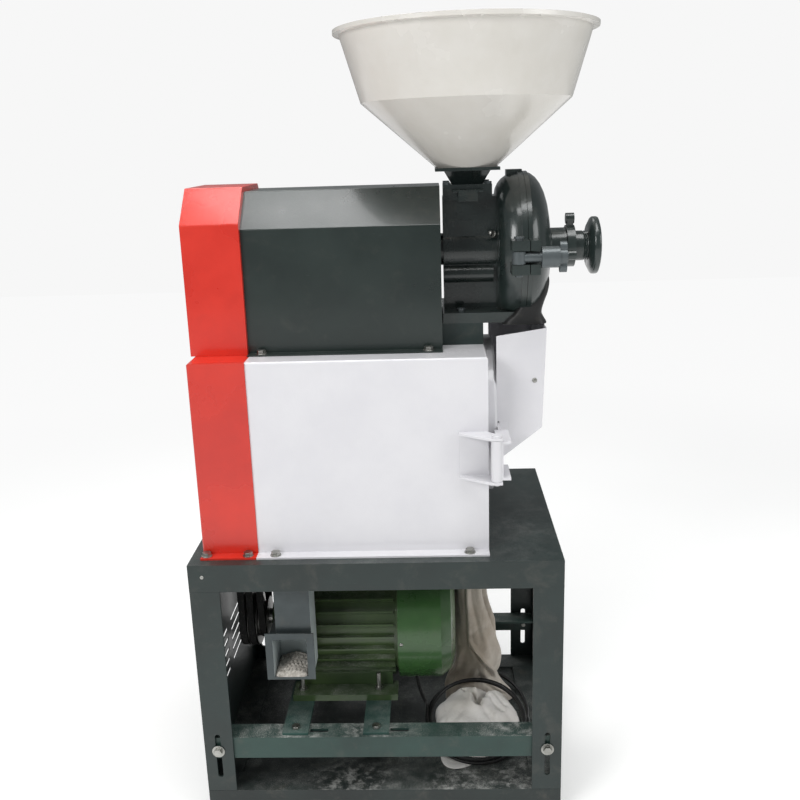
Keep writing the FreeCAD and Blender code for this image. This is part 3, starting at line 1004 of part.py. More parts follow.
def adjuster():
    """Fixed disc on its sliding plunger, the threaded stem, its handwheel and the lock ring."""
    axis = "spindle_axis"
    node("fixed_disc", turned("fixed_disc", "x",
                              [("fixed_disc_x", "34"), ("fixed_disc_x + 6", "30"), ("plate_x", "30"),
                               ("plate_x", "disc_r"), ("fixed_disc_x", "disc_r")], z=axis))
    node("plunger", turned("plunger", "x",
                           [("plate_x", "0"), ("plate_x", "disc_r - 6"), ("plate_x + 7", "disc_r - 6"),
                            ("plate_x + 7", "plunger_r + 12"), ("plate_x + 11", "plunger_r"),
                            ("cover_nose + 1", "plunger_r"), ("cover_nose + 1", "0")], z=axis))
    stem = "cover_nose + 1.5"
    node("adjuster_stem", turned("adjuster_stem", "x",
                                 [(stem, "0"), (stem, "stem_r - 2"), (stem + " + 2", "stem_r"),
                                  ("stem_end - 8", "stem_r"), ("stem_end - 6", "stem_r - 3"),
                                  ("stem_end", "stem_r - 3"), ("stem_end", "0")], z=axis))
    node("handwheel", turned("handwheel", "x",
                             [("stem_end", "0"), ("stem_end", "stem_r + 3"), ("stem_end + 2.5", "stem_r + 9"),
                              ("stem_end + 8", "wheel_r - 2"), ("stem_end + 10", "wheel_r"),
                              ("stem_end + wheel_t - wheel_bevel", "wheel_r"),
                              ("stem_end + wheel_t", "wheel_r - wheel_bevel"), ("stem_end + wheel_t", "wheel_r - 9"),
                              ("stem_end + wheel_t - 2", "wheel_r - 12"), ("stem_end + wheel_t - 2", "12"),
                              ("stem_end + wheel_t", "10"), ("stem_end + wheel_t", "0")], z=axis))
    ring = rod("lock_ring_blank", "+x", "ring_r", "ring_t", "ring_x", "0", axis)
    arm = box("lock_ring_arm", ("ring_x + 2", "ring_x + ring_t - 2"), ("-8", "8"), (axis + " + 28", axis + " + 48"))
    knob = rod("lock_ring_knob", "+x", "9", "ring_t", "ring_x", "0", axis + " + 46")
    stub = rod("lock_ring_stub", "+x", "8", "ring_t", "ring_x", "-33", axis + " - 12")
    hole = rod("lock_ring_hole", "+x", "stem_r + fit_gap", "ring_t + 2", "ring_x - 1", "0", axis)
    node("lock_ring", cut("lock_ring", fuse("lock_ring_pieces", ring, arm, knob, stub), hole))


def clamp():
    """Swing bolt on its pin between the ears, and the long nut with its wings."""
    axis = "spindle_axis"
    thick = "ear_gap - 2"
    eye = rod("swing_eye", "+z", "swing_eye_r", thick, "swing_pin_x", "ear_y", axis + " - (%s) / 2" % thick)
    shank = rod("swing_shank", "+x", "swing_shank_r", "nut_x + nut_len + wing_t + 2 - swing_pin_x",
                "swing_pin_x", "ear_y", axis)
    bore = rod("swing_bore", "+z", "swing_pin_r + fit_gap", "40", "swing_pin_x", "ear_y", axis + " - 20")
    node("swing_bolt", cut("swing_bolt", fuse("swing_pieces", eye, shank), bore))
    sleeve = rod("nut_sleeve", "+x", "nut_r", "nut_len", "nut_x", "ear_y", axis)
    hub = rod("wing_hub", "+x", "nut_r - 3", "wing_t", "nut_x + nut_len", "ear_y", axis)
    bar = box("wing_bar", ("nut_x + nut_len", "nut_x + nut_len + wing_t"), ("ear_y - 7", "ear_y + 7"),
              (axis + " - wing_half + 8", axis + " + wing_half - 8"))
    lobes = [rod("wing_lobe", "+x", "9", "wing_t", "nut_x + nut_len", "ear_y", axis + z)
             for z in (" - wing_half + 9", " + wing_half - 9")]
    thread = rod("nut_bore", "+x", "swing_shank_r + fit_gap", "nut_len + wing_t + 2", "nut_x - 1", "ear_y", axis)
    node("clamp_nut", cut("clamp_nut", fuse("nut_pieces", sleeve, hub, bar, *lobes), thread))


def grinder_fasteners():
    """Foot bolts, throat screws, the swing bolt's pin and the cover's hinge pins."""
    pieces = []
    for y in ("-stand_y", "stand_y"):
        pieces.append(hex_bolt("foot_bolt", "+z", "foot_plate_t + stand_wall + 8", "foot_left + foot_bolt_in", y,
                               "foot_low + foot_plate_t"))
    for x, y in throat_bolt_spots():
        pieces.append(hex_bolt("throat_bolt", "+z", "gate_t * 3 + 9 + 2", x, y, "neck_low_z + 4", "m_six"))
    low, tall = "spindle_axis - ear_gap / 2 - ear_t - 3", "ear_gap + ear_t * 2 + 6"
    for x, y in (("swing_pin_x", "ear_y"), ("swing_pin_x", "-ear_y"), ("ear_right - 8", "-ear_y")):
        pin = rod("ear_pin", "+z", "swing_pin_r", tall, x, y, low)
        cap = rod("ear_pin_head", "+z", "swing_pin_r + 2", "3", x, y, "%s + %s" % (low, tall))
        pieces.append(fuse("ear_pin_set", pin, cap))
    link = box("hinge_link", ("swing_pin_x - 9", "ear_right + 1"), ("-ear_y - 9", "-ear_y + 9"),
               ("spindle_axis - 9", "spindle_axis + 9"))
    ways = [rod("link_way", "+z", "swing_pin_r + seat_gap", "30", x, "-ear_y", "spindle_axis - 15")
            for x in ("swing_pin_x", "ear_right - 8")]
    pieces.append(cut("hinge_link_bored", link, *ways))
    node("grinder_fasteners", group("grinder_fasteners", *pieces))


# Feed

def hopper():
    """Open feed hopper: a cone, a steep wall above it and a rolled rim."""
    node("hopper", turned("hopper", "z",
                          [("hopper_low_r", "hopper_low_z"), ("hopper_shoulder_r", "table_h + hopper_shoulder"),
                           ("hopper_r - hopper_lip", "hopper_top_z - 8"), ("hopper_r", "hopper_top_z - 7"),
                           ("hopper_r", "hopper_top_z - 1"), ("hopper_r - 3", "hopper_top_z"),
                           ("hopper_r - hopper_lip - 4", "hopper_top_z - 3"),
                           ("hopper_shoulder_r - hopper_t", "table_h + hopper_shoulder + 1"),
                           ("hopper_low_r - hopper_t - 1", "hopper_low_z")], x="hopper_x"))


def hopper_neck():
    """Square flange under the hopper, the tapering neck below it and the gate's guide frame."""
    top = "hopper_low_z"
    half = "neck_flange / 2"
    flange = box("neck_flange_plate", ("hopper_x - " + half, "hopper_x + " + half), ("-" + half, half),
                 (top + " - neck_flange_t", top))
    taper = doc.addObject("Part::Wedge", "neck_taper")
    bind(taper, {"Ymin": "neck_low_z", "Ymax": top + " - neck_flange_t",
                 "Xmin": "hopper_x - neck_low_half - 3", "Xmax": "hopper_x + neck_low_half + 3",
                 "Zmin": "-neck_low_half - 3", "Zmax": "neck_low_half + 3",
                 "X2min": "hopper_x - neck_top_half", "X2max": "hopper_x + neck_top_half",
                 "Z2min": "-neck_top_half", "Z2max": "neck_top_half"})
    room = doc.addObject("Part::Wedge", "neck_room")
    bind(room, {"Ymin": "throat_z - 1", "Ymax": top + " + 1",
                "Xmin": "hopper_x - throat_w / 2 + 1", "Xmax": "hopper_x + throat_w / 2 - 1",
                "Zmin": "-throat_half + 1", "Zmax": "throat_half - 1",
                "X2min": "hopper_x - neck_top_half + 4", "X2max": "hopper_x + neck_top_half - 4",
                "Z2min": "-neck_top_half + 4", "Z2max": "neck_top_half - 4"})
    for item in (taper, room):
        item.Placement = FreeCAD.Placement(vec(0, 0, 0), turns["-y"])
    half_rim = "throat_flange / 2"
    frame = box("gate_frame", ("throat_x - " + half_rim, "throat_x + " + half_rim), ("-" + half_rim, half_rim),
                ("throat_z", "neck_low_z + 4"))
    slot = box("gate_slot", ("throat_x - gate_half - 0.3", "throat_x + gate_half + 0.3"), ("-80", "throat_half + 11"),
               ("throat_z + gate_t", "throat_z + gate_t * 2 + 0.6"))
    holes = [rod("neck_hole", "+z", "m_eight_hole - 1", "40", x, y, "throat_z - 10") for x, y in throat_bolt_spots()]
    node("hopper_neck", cut("hopper_neck", fuse("neck_pieces", flange, taper, frame), room, slot, *holes))


def feed_gate():
    """Flat slide that closes the throat, with a bent pull at the front."""
    low = "throat_z + gate_t + 0.3"
    plate = box("gate_plate", ("throat_x - gate_half", "throat_x + gate_half"), ("-60", "throat_half + 10"),
                (low, low + " + gate_t"))
    pull = box("gate_pull", ("throat_x - 16", "throat_x + 16"), ("-64", "-60"), (low + " - 14", low + " + gate_t"))
    node("feed_gate", fuse("feed_gate", plate, pull))


# Cloth and cable

def oval(x, y, z, half_x, half_y):
    """A closed oval wire at a height, as a circle stretched to two half widths."""
    stretch = FreeCAD.Matrix()
    stretch.scale(half_x, half_y, 1)
    wire = Part.Wire([Part.Circle(vec(0, 0, 0), z_way, 1).toShape()]).transformGeometry(stretch)
    wire.translate(vec(x, y, z))
    return wire


def cloth():
    """Flour sleeve tied round the outlet collar, and the bag that its lower end gathers into."""
    low, x, y = value("collar_low"), value("collar_x"), value("collar_y")
    fan_end = value("barrel_right + 3 + fan_cover_w")
    middle = value("shelf_top + bag_half_h + slide_gap")
    stations = [(x + 1, y, low + value("collar_drop") - 3, 39, 66), (x + 3, y, low - 8, 35, 62),
                (x + 4, y, low - 60, 29, 54), (x + 4, y, low - 160, 28, 48), (fan_end + 41, y, low - 220, 33, 45),
                (fan_end + 45, y - 1, low - 265, 38, 39), (fan_end + 48, y - 2, low - 302, 41, 34),
                (fan_end + 46, y + 2, middle + 38, 38, 28), (fan_end + 43, y - 6, middle + 10, 36, 24),
                (fan_end + 42, y - 24, middle - 16, 34, 26)]
    hang = Part.makeLoft([oval(*station) for station in stations], True, True)
    slack = value("soft_gap")
    wide, deep = value("collar_w / 2") + slack, value("collar_half") + slack
    room = Part.makeBox(2 * wide, 2 * deep, value("collar_drop + 24"), vec(x - wide, y - deep, low - slack))
    swell = FreeCAD.Matrix()
    swell.scale(value("bag_half_w") + slack, value("bag_half_d") + slack, value("bag_half_h") + slack)
    bulge = Part.makeSphere(1).transformGeometry(swell)
    bulge.translate(vec(value("bag_x"), value("bag_y"), middle))
    sleeve = doc.addObject("Part::Feature", "cloth_sleeve")
    sleeve.Shape = hang.cut(room).cut(bulge)
    node("cloth_sleeve", sleeve)
    bag = doc.addObject("Part::Ellipsoid", "flour_bag")
    bind(bag, {"Radius1": "bag_half_h", "Radius2": "bag_half_w", "Radius3": "bag_half_d"})
    bind_base(bag, "bag_x", "bag_y", "shelf_top + bag_half_h + slide_gap")
    node("flour_bag", bag)


def tube_along(points, radius, arc_share=0.45):
    """A round tube on straight runs joined by tangent arcs, with its radii printed."""
    edges, start = [], points[0]
    for before, corner, after in zip(points, points[1:], points[2:]):
        back, ahead = (before - corner), (after - corner)
        turn = math.pi - back.getAngle(ahead)
        reach = arc_share * min(back.Length, ahead.Length)
        bend = reach / math.tan(turn / 2)
        back.normalize()
        ahead.normalize()
        middle = back + ahead
        middle.normalize()
        inset = bend / math.cos(turn / 2) - bend
        arc_start, arc_end = corner + back * reach, corner + ahead * reach
        edges.append(Part.LineSegment(start, arc_start).toShape())
        edges.append(Part.Arc(arc_start, corner + middle * inset, arc_end).toShape())
        start = arc_end
        print("lead bend radius %.0f mm" % bend)
    edges.append(Part.LineSegment(start, points[-1]).toShape())
    path = Part.Wire(edges)
    disc = Part.Wire([Part.Circle(points[0], points[1] - points[0], radius).toShape()])
    tube = path.makePipeShell([disc], True, False)
    print("lead length %.0f mm, volume ratio %.4f" % (path.Length, tube.Volume / (math.pi * radius ** 2 * path.Length)))
    return tube


def on_coil(angle):
    """A point on the coil's centre line, by its angle in degrees from the right-hand side."""
    turn, tilt = math.radians(angle), math.radians(value("coil_tilt"))
    reach = value("coil_r")
    return vec(value("coil_x") + reach * math.cos(turn),
               value("coil_y") + reach * math.sin(turn) * math.cos(tilt),
               value("coil_z") + reach * math.sin(turn) * math.sin(tilt))


def mains_lead():
    """Cable from the motor's gland to the coil round the bag, and the plug on its tail behind the bag."""
    start = vec(value("box_x + 20"), value("terminal_d / 2 - 3") + 18.8,
                value("motor_axis + body_r + fin_out + 16"))
    lead = doc.addObject("Part::Feature", "power_lead")
    lead.Shape = tube_along([start] + [vec(*place) for place in lead_route] + [on_coil(165)], value("lead_r"))
    node("power_lead", lead)
    coil = doc.addObject("Part::Torus", "cable_coil")
    bind(coil, {"Radius1": "coil_r", "Radius2": "coil_tube_r"})
    coil.Placement = FreeCAD.Placement(vec(0, 0, 0), FreeCAD.Rotation(vec(1, 0, 0), value("coil_tilt")))
    bind_base(coil, "coil_x", "coil_y", "coil_z")
    node("cable_coil", coil)
    grip_x = "bag_x + 42"
    tail = doc.addObject("Part::Feature", "plug_tail")
    tail_end = vec(value(grip_x) - 4, value("plug_y"), value("plug_z"))
    tail.Shape = tube_along([on_coil(-4)] + [vec(*place) for place in tail_route] + [tail_end], value("lead_r"))
    grip = doc.addObject("Part::Cone", "plug_grip")
    grip.Placement = FreeCAD.Placement(vec(0, 0, 0), turns["-x"])
    bind(grip, {"Radius1": "7", "Radius2": "19", "Height": "34"})
    bind_base(grip, grip_x, "plug_y", "plug_z")
    face = rod("plug_face", "-x", "19", "14", grip_x + " - 34", "plug_y", "plug_z")
    pins = [rod("plug_pin", "-x", "2.4", "19", grip_x + " - 48", "plug_y %s 9.5" % way, "plug_z")
            for way in ("-", "+")]
    node("mains_plug", fuse("mains_plug", tail, grip, face, *pins))


# Points of the lead between its gland and the coil, and of its tail between the coil and the plug.
lead_route = [(-5, 84, 391), (3, 111, 367), (14, 129, 327), (24, 137, 281), (33, 136, 233), (40, 127, 188),
              (46, 108, 148), (51, 80, 117), (57, 46, 98), (65, 14, 89), (74, -14, 86)]
tail_route = [(266, -46, 74), (270, -18, 67), (271, 12, 61), (269, 40, 57), (264, 66, 56),
              (254, 90, 57), (240, 109, 60), (225, 119, 63.5)]


def build():
    table_top()
    legs()
    bottom_frame()
    left_guard_panel()
    sieve_box()
    belt_cover_lower()
    belt_cover_upper()
    spindle_cover()
    cover_bolts()
    sieve_floor()
    sieve_screen()
    sieve_rotor()
    sieve_door()
    door_hinge_bracket()
    bran_spout()
    motor_rails()
    motor_straps()
    carriage_bolts()
    motor_housing()
    motor_ends()
    motor_rotor()
    terminal_box()
    belts()
    spindle_stand()
    spindle_bearings()
    grinder_body()
    grinder_cover()
    discharge_skirt()
    spindle()
    adjuster()
    clamp()
    grinder_fasteners()
    hopper()
    hopper_neck()
    feed_gate()
    cloth()
    mains_lead()
    doc.recompute()


def export():
    """Checks every object and writes one file for each sub-part."""
    faults = []
    for item in doc.Objects:
        if "Invalid" in item.State or "Error" in item.State:
            faults.append("%s is %s" % (item.Label, item.State))
    for name, item in nodes.items():
        if item.Shape.isNull() or not item.Shape.isValid() or not item.Shape.Solids:
            faults.append(name + " has no valid shape")
    if faults:
        raise RuntimeError("; ".join(faults))
    os.makedirs("parts", exist_ok=True)
    for name, item in nodes.items():
        item.Shape.exportStep("parts/%s.step" % name)
    print("%d sub-parts written" % len(nodes))


build()
export()
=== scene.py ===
import json
import math

import bmesh
import bpy
import numpy as np
from mathutils import Matrix, Vector


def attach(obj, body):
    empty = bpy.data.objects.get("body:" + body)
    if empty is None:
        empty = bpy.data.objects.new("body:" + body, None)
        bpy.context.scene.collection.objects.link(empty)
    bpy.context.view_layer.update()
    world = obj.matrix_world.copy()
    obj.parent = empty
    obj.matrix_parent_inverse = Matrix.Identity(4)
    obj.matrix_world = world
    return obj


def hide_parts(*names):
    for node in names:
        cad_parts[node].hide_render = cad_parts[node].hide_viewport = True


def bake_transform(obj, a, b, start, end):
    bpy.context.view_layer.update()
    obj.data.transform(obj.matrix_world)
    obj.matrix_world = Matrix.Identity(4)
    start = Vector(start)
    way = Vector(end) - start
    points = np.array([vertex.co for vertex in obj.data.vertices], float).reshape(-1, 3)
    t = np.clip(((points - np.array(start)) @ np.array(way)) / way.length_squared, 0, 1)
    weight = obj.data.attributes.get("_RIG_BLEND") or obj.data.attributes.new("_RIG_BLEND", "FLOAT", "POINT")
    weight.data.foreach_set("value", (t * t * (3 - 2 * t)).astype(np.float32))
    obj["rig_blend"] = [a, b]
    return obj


# Grain grinder: a disc mill above a white sieve box, on a dark steel stand with its motor inside.
# Metres, Z up, the front is towards -Y. The frame holds the solids; this file gives them their looks.

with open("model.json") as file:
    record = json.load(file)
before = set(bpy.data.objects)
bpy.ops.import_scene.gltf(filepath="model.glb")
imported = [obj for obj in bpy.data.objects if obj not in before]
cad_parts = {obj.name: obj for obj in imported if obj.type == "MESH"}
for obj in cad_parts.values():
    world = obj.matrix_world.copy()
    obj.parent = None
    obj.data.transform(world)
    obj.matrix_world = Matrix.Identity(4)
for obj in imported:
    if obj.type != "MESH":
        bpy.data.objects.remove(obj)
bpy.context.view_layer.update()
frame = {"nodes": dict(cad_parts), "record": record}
bodyOf = {node: body for body, names in frame["record"]["behaviour"]["bodies"].items() for node in names}
tau = 2 * math.pi

# The photograph's own view: where it was taken from and how it was tilted.
camera = {"place": (0.10395, -1.59526, 1.13304), "yaw": -2.25, "pitch": 15.42, "roll": -1.80, "lens": 41.76}


def aimCamera(spec):
    yaw, pitch, roll = (math.radians(spec[key]) for key in ("yaw", "pitch", "roll"))
    ahead = Vector((math.sin(yaw) * math.cos(pitch), math.cos(yaw) * math.cos(pitch), -math.sin(pitch)))
    right = Vector((math.cos(yaw), -math.sin(yaw), 0))
    up = right.cross(ahead)
    rolledRight = right * math.cos(roll) + up * math.sin(roll)
    rolledUp = up * math.cos(roll) - right * math.sin(roll)
    lens = bpy.data.cameras.new("photoCamera")
    lens.lens = spec["lens"]
    lens.sensor_width = 36
    lens.clip_end = 60
    holder = bpy.data.objects.new("photoCamera", lens)
    bpy.context.scene.collection.objects.link(holder)
    turn = Matrix((rolledRight, rolledUp, -ahead)).transposed().to_4x4()
    holder.matrix_world = Matrix.Translation(Vector(spec["place"])) @ turn
    bpy.context.scene.camera = holder


aimCamera(camera)
print("camera set")

# Soft studio light: a white room that the camera sees bright, one broad lamp high in front, and fill lamps.
studio = {
    "room": (0.94, 0.98, 1.0), "roomSeen": 0.93, "roomLight": 0.24,
    "lamps": {
        "frontLamp": {"place": (-2.3, -3.0, 2.7), "aim": (0, 0, 0.8), "size": 1.5, "power": 76},
        "sideLamp": {"place": (3.2, -1.6, 2.2), "aim": (0.1, 0, 0.8), "size": 1.6, "power": 34},
        "topLamp": {"place": (0.2, -0.6, 3.9), "aim": (0, 0, 0.9), "size": 2.0, "power": 84},
        "backLamp": {"place": (-1.2, 2.2, 4.0), "aim": (0, 0, 0.9), "size": 2.0, "power": 45},
    },
}


def lightRoom(spec):
    bpy.context.scene.view_settings.view_transform = "Standard"
    world = bpy.data.worlds.new("paleRoom")
    world.use_nodes = True
    tree = world.node_tree
    backdrop = tree.nodes["Background"]
    backdrop.inputs["Color"].default_value = (*spec["room"], 1)
    backdrop.inputs["Strength"].default_value = spec["roomLight"]
    seen = tree.nodes.new("ShaderNodeBackground")
    seen.inputs["Color"].default_value = (1, 1, 1, 1)
    seen.inputs["Strength"].default_value = spec["roomSeen"]
    rays = tree.nodes.new("ShaderNodeLightPath")
    choice = tree.nodes.new("ShaderNodeMixShader")
    tree.links.new(rays.outputs["Is Camera Ray"], choice.inputs[0])
    tree.links.new(backdrop.outputs[0], choice.inputs[1])
    tree.links.new(seen.outputs[0], choice.inputs[2])
    tree.links.new(choice.outputs[0], tree.nodes["World Output"].inputs["Surface"])
    bpy.context.scene.world = world
    for name, lamp in spec["lamps"].items():
        light = bpy.data.lights.new(name, "AREA")
        light.energy = lamp["power"]
        light.size = lamp["size"]
        holder = bpy.data.objects.new(name, light)
        holder.location = lamp["place"]
        way = Vector(lamp["aim"]) - Vector(lamp["place"])
        holder.rotation_euler = way.to_track_quat("-Z", "Y").to_euler()
        bpy.context.scene.collection.objects.link(holder)


lightRoom(studio)


def linear(hexText):
    # screen colour to light: the usual curve, channel by channel
    channels = [int(hexText[i:i + 2], 16) / 255 for i in (0, 2, 4)]
    return tuple(c / 12.92 if c <= 0.04045 else ((c + 0.055) / 1.055) ** 2.4 for c in channels)


class Flow:
    # one shader socket that can stand in sums with numbers and with other sockets
    def __init__(self, net, socket):
        self.net = net
        self.socket = socket

    def maths(self, operation, *others):
        return self.net.node("ShaderNodeMath", {"operation": operation}, dict(enumerate([self, *others])))

    def __add__(self, other):
        return self.maths("ADD", other)

    def __mul__(self, other):
        return self.maths("MULTIPLY", other)

    def __sub__(self, other):
        return self.maths("SUBTRACT", other)

    def __rsub__(self, other):
        return self.net.node("ShaderNodeMath", {"operation": "SUBTRACT"}, {0: other, 1: self})

    def fold(self, span):
        return self.maths("PINGPONG", span)

    def least(self, other):
        return self.maths("MINIMUM", other)

    def most(self, other):
        return self.maths("MAXIMUM", other)

    def ramp(self, low, high, outLow=0.0, outHigh=1.0):
        return self.net.node("ShaderNodeMapRange", {"interpolation_type": "SMOOTHSTEP"},
                             {"Value": self, "From Min": low, "From Max": high, "To Min": outLow, "To Max": outHigh})


class Net:
    # the node tree of one material
    def __init__(self, name):
        self.material = bpy.data.materials.new(name)
        self.material.use_nodes = True
        self.tree = self.material.node_tree
        self.tree.nodes.clear()

    def node(self, kind, settings=None, sockets=None, out=0):
        item = self.tree.nodes.new(kind)
        for key, setting in (settings or {}).items():
            setattr(item, key, setting)
        for key, given in (sockets or {}).items():
            if isinstance(given, Flow):
                self.tree.links.new(given.socket, item.inputs[key])
            else:
                item.inputs[key].default_value = given
        return Flow(self, item.outputs[out]) if len(item.outputs) else item

    def place(self):
        return self.node("ShaderNodeTexCoord", out="Object")

    def stretched(self, place, scale, turn=(0, 0, 0)):
        return self.node("ShaderNodeMapping", {}, {"Vector": place, "Scale": scale, "Rotation": turn})

    def noise(self, place, scale, detail=3.0, rough=0.5, warp=0.0):
        return self.node("ShaderNodeTexNoise", {}, {"Vector": place, "Scale": scale, "Detail": detail,
                                                    "Roughness": rough, "Distortion": warp}, out="Fac")

    def axis(self, vector, letter):
        return self.node("ShaderNodeSeparateXYZ", {}, {"Vector": vector}, out=letter)

    def upward(self):
        return self.axis(self.node("ShaderNodeNewGeometry", out="Normal"), "Z")

    def mix(self, factor, first, second):
        # factor 0 gives first, 1 gives second; both are colours
        def colour(given):
            return given if isinstance(given, Flow) else (*given, 1)
        return self.node("ShaderNodeMix", {"data_type": "RGBA", "clamp_factor": True},
                         {0: factor, 6: colour(first), 7: colour(second)}, out=2)

    def bump(self, height, distance, before=None):
        sockets = {"Height": height, "Distance": distance, "Strength": 1.0}
        if before is not None:
            sockets["Normal"] = before
        return self.node("ShaderNodeBump", {}, sockets)

    def surface(self, sockets):
        shader = self.node("ShaderNodeBsdfPrincipled", {}, sockets)
        self.node("ShaderNodeOutputMaterial", {}, {"Surface": shader})
        return self.material


finishes = {}


def paint(name, look):
    # enamel on steel or iron: blotches shift the colour, fine noise is orange peel, slow noise is the
    # sheet's waviness, thin stretched noise is scratches, and flour lies on what faces upwards
    net = Net(name)
    place = net.place()
    blotch = net.noise(place, 7, 4, 0.6)
    grime = net.noise(place, 26, 6, 0.65, 0.4).ramp(0.52, 0.78)
    colour = net.mix(blotch.ramp(0.3, 0.7), look["deep"], look["colour"])
    colour = net.mix(grime * look.get("grime", 0.15), colour, look.get("grimeColour", (0.1, 0.09, 0.075)))
    scratch = net.noise(net.stretched(place, (9, 9, 140), (0.5, 0.25, 0.9)), 5, 3, 0.7).ramp(0.69, 0.76)
    scratch = scratch * net.noise(place, 5, 2).ramp(0.45, 0.65)
    colour = net.mix(scratch * look.get("scratches", 0.25), colour, look.get("worn", (0.3, 0.31, 0.3)))
    patches = net.noise(place, 9, 4, 0.6).ramp(0.38, 0.66)
    specks = net.noise(place, 760, 3, 0.7).ramp(0.53, 0.66)
    film = net.noise(place, 45, 6, 0.65).ramp(0.3, 0.8)
    dust = (specks * 0.75 + film * 0.3) * (patches * 0.8 + 0.2) * look.get("dust", 0.3)
    for centre, reach in look.get("spills", ()):
        away = net.node("ShaderNodeVectorMath", {"operation": "DISTANCE"}, {0: place, 1: centre}, out="Value")
        clumps = net.noise(place, 70, 4, 0.7).ramp(0.42, 0.6, 0, 0.65)
        dust = dust + away.ramp(reach, 0.2 * reach) * specks.most(film) * clumps
    dust = dust * net.upward().ramp(0.55, 0.95)
    colour = net.mix(dust.least(0.9), colour, (0.6, 0.6, 0.57))
    rough = blotch.ramp(0.25, 0.75, look["rough"] - 0.05, look["rough"] + 0.07) + dust * 0.5 + scratch * 0.12
    wave = net.bump(net.noise(place, look.get("waveScale", 5), 1), look.get("wave", 0.004))
    peel = net.bump(net.noise(place, look.get("peelScale", 420), 2), look.get("peel", 0.00012), wave)
    finishes[name] = net.surface({"Base Color": colour, "Roughness": rough.least(0.95), "Normal": peel,
                                  "Metallic": look.get("metal", 0.0), "Coat Weight": look.get("coat", 0.0),
                                  "Coat Roughness": 0.12})


paint("framePaint", {"colour": linear("1c2b29"), "deep": linear("13201e"), "rough": 0.38, "coat": 0.12,
                     "dust": 0.3, "grime": 0.25, "worn": linear("5d6866"), "scratches": 0.35})
paint("shelfPaint", {"colour": linear("232d2b"), "deep": linear("171e1d"), "rough": 0.45, "dust": 0.6,
                     "grime": 0.4, "worn": linear("6f6e68"), "scratches": 0.45,
                     "spills": [((0.24, -0.195, 0.05), 0.09), ((0.13, -0.2, 0.05), 0.08), ((-0.05, -0.2, 0.05), 0.1)]})
paint("railPaint", {"colour": linear("2a443e"), "deep": linear("1d302c"), "rough": 0.4, "dust": 0.8,
                    "grime": 0.3, "worn": linear("77776f"), "scratches": 0.5,
                    "spills": [((0.235, -0.205, 0.152), 0.07), ((-0.02, -0.2, 0.152), 0.07),
                               ((-0.15, -0.2, 0.152), 0.07)]})
paint("strapPaint", {"colour": linear("31524b"), "deep": linear("243e39"), "rough": 0.38, "dust": 0.5,
                     "grime": 0.3, "worn": linear("8d938d"), "scratches": 0.5})
paint("coverPaint", {"colour": linear("202b28"), "deep": linear("1a2422"), "rough": 0.3, "coat": 0.35,
                     "dust": 0.12, "grime": 0.12, "worn": linear("5d6866"), "scratches": 0.2, "wave": 0.006})
paint("whitePaint", {"colour": linear("dfdee1"), "deep": linear("d8d7db"), "rough": 0.2, "coat": 0.5,
                     "dust": 0.12, "grime": 0.05, "grimeColour": (0.55, 0.52, 0.47), "worn": linear("b9b6b2"),
                     "scratches": 0.12, "wave": 0.005})
paint("redPaint", {"colour": linear("d5301f"), "deep": linear("c4291c"), "rough": 0.27, "coat": 0.35,
                   "dust": 0.1, "grime": 0.08, "grimeColour": (0.25, 0.02, 0.012), "worn": linear("dc6a5a"),
                   "scratches": 0.2, "wave": 0.005})
paint("creamPaint", {"colour": linear("dfdcd6"), "deep": linear("d6d2ca"), "rough": 0.24, "coat": 0.35,
                     "dust": 0.1, "grime": 0.1, "grimeColour": (0.45, 0.41, 0.34), "worn": linear("b5aea4"),
                     "scratches": 0.15, "wave": 0.003})
paint("spoutPaint", {"colour": linear("b9c2c2"), "deep": linear("a3acac"), "rough": 0.42, "dust": 0.5,
                     "grime": 0.35, "grimeColour": (0.14, 0.14, 0.13), "worn": linear("b4baba"), "scratches": 0.35})
paint("mouthIron", {"colour": linear("4c5455"), "deep": linear("363d3f"), "rough": 0.36, "dust": 0.5,
                    "grime": 0.35, "worn": linear("a4aaa9"), "scratches": 0.6, "metal": 0.3})
paint("castPaint", {"colour": linear("2b3533"), "deep": linear("1e2625"), "rough": 0.27, "coat": 0.45,
                    "dust": 0.25, "grime": 0.25, "worn": linear("6b7070"), "scratches": 0.2,
                    "peelScale": 240, "peel": 0.0002, "waveScale": 22, "wave": 0.0008, "metal": 0.1})
paint("neckPaint", {"colour": linear("171818"), "deep": linear("101111"), "rough": 0.5, "dust": 0.2,
                    "grime": 0.3, "worn": linear("4d4b4a"), "scratches": 0.3})
paint("clampIron", {"colour": linear("5a6163"), "deep": linear("454b4d"), "rough": 0.36, "coat": 0.2, "dust": 0.2,
                    "grime": 0.3, "worn": linear("8f9290"), "scratches": 0.4, "peelScale": 260,
                    "peel": 0.0003, "waveScale": 40, "wave": 0.001, "metal": 0.35})
paint("motorPaint", {"colour": linear("43562f"), "deep": linear("33462a"), "rough": 0.34, "coat": 0.15,
                     "dust": 1.0, "grime": 0.35, "worn": linear("9aa088"), "scratches": 0.35,
                     "peelScale": 300, "peel": 0.0003, "waveScale": 20, "wave": 0.001})
paint("fanCoverPaint", {"colour": linear("3d6433"), "deep": linear("2f5129"), "rough": 0.28, "coat": 0.3,
                        "dust": 0.3, "grime": 0.2, "worn": linear("6f8664"), "scratches": 0.25, "wave": 0.003})
paint("plainIron", {"colour": linear("7b7a78"), "deep": linear("656461"), "rough": 0.36, "dust": 0.2,
                    "grime": 0.3, "worn": linear("b5b4b0"), "scratches": 0.5, "metal": 0.9, "peel": 0.0001})


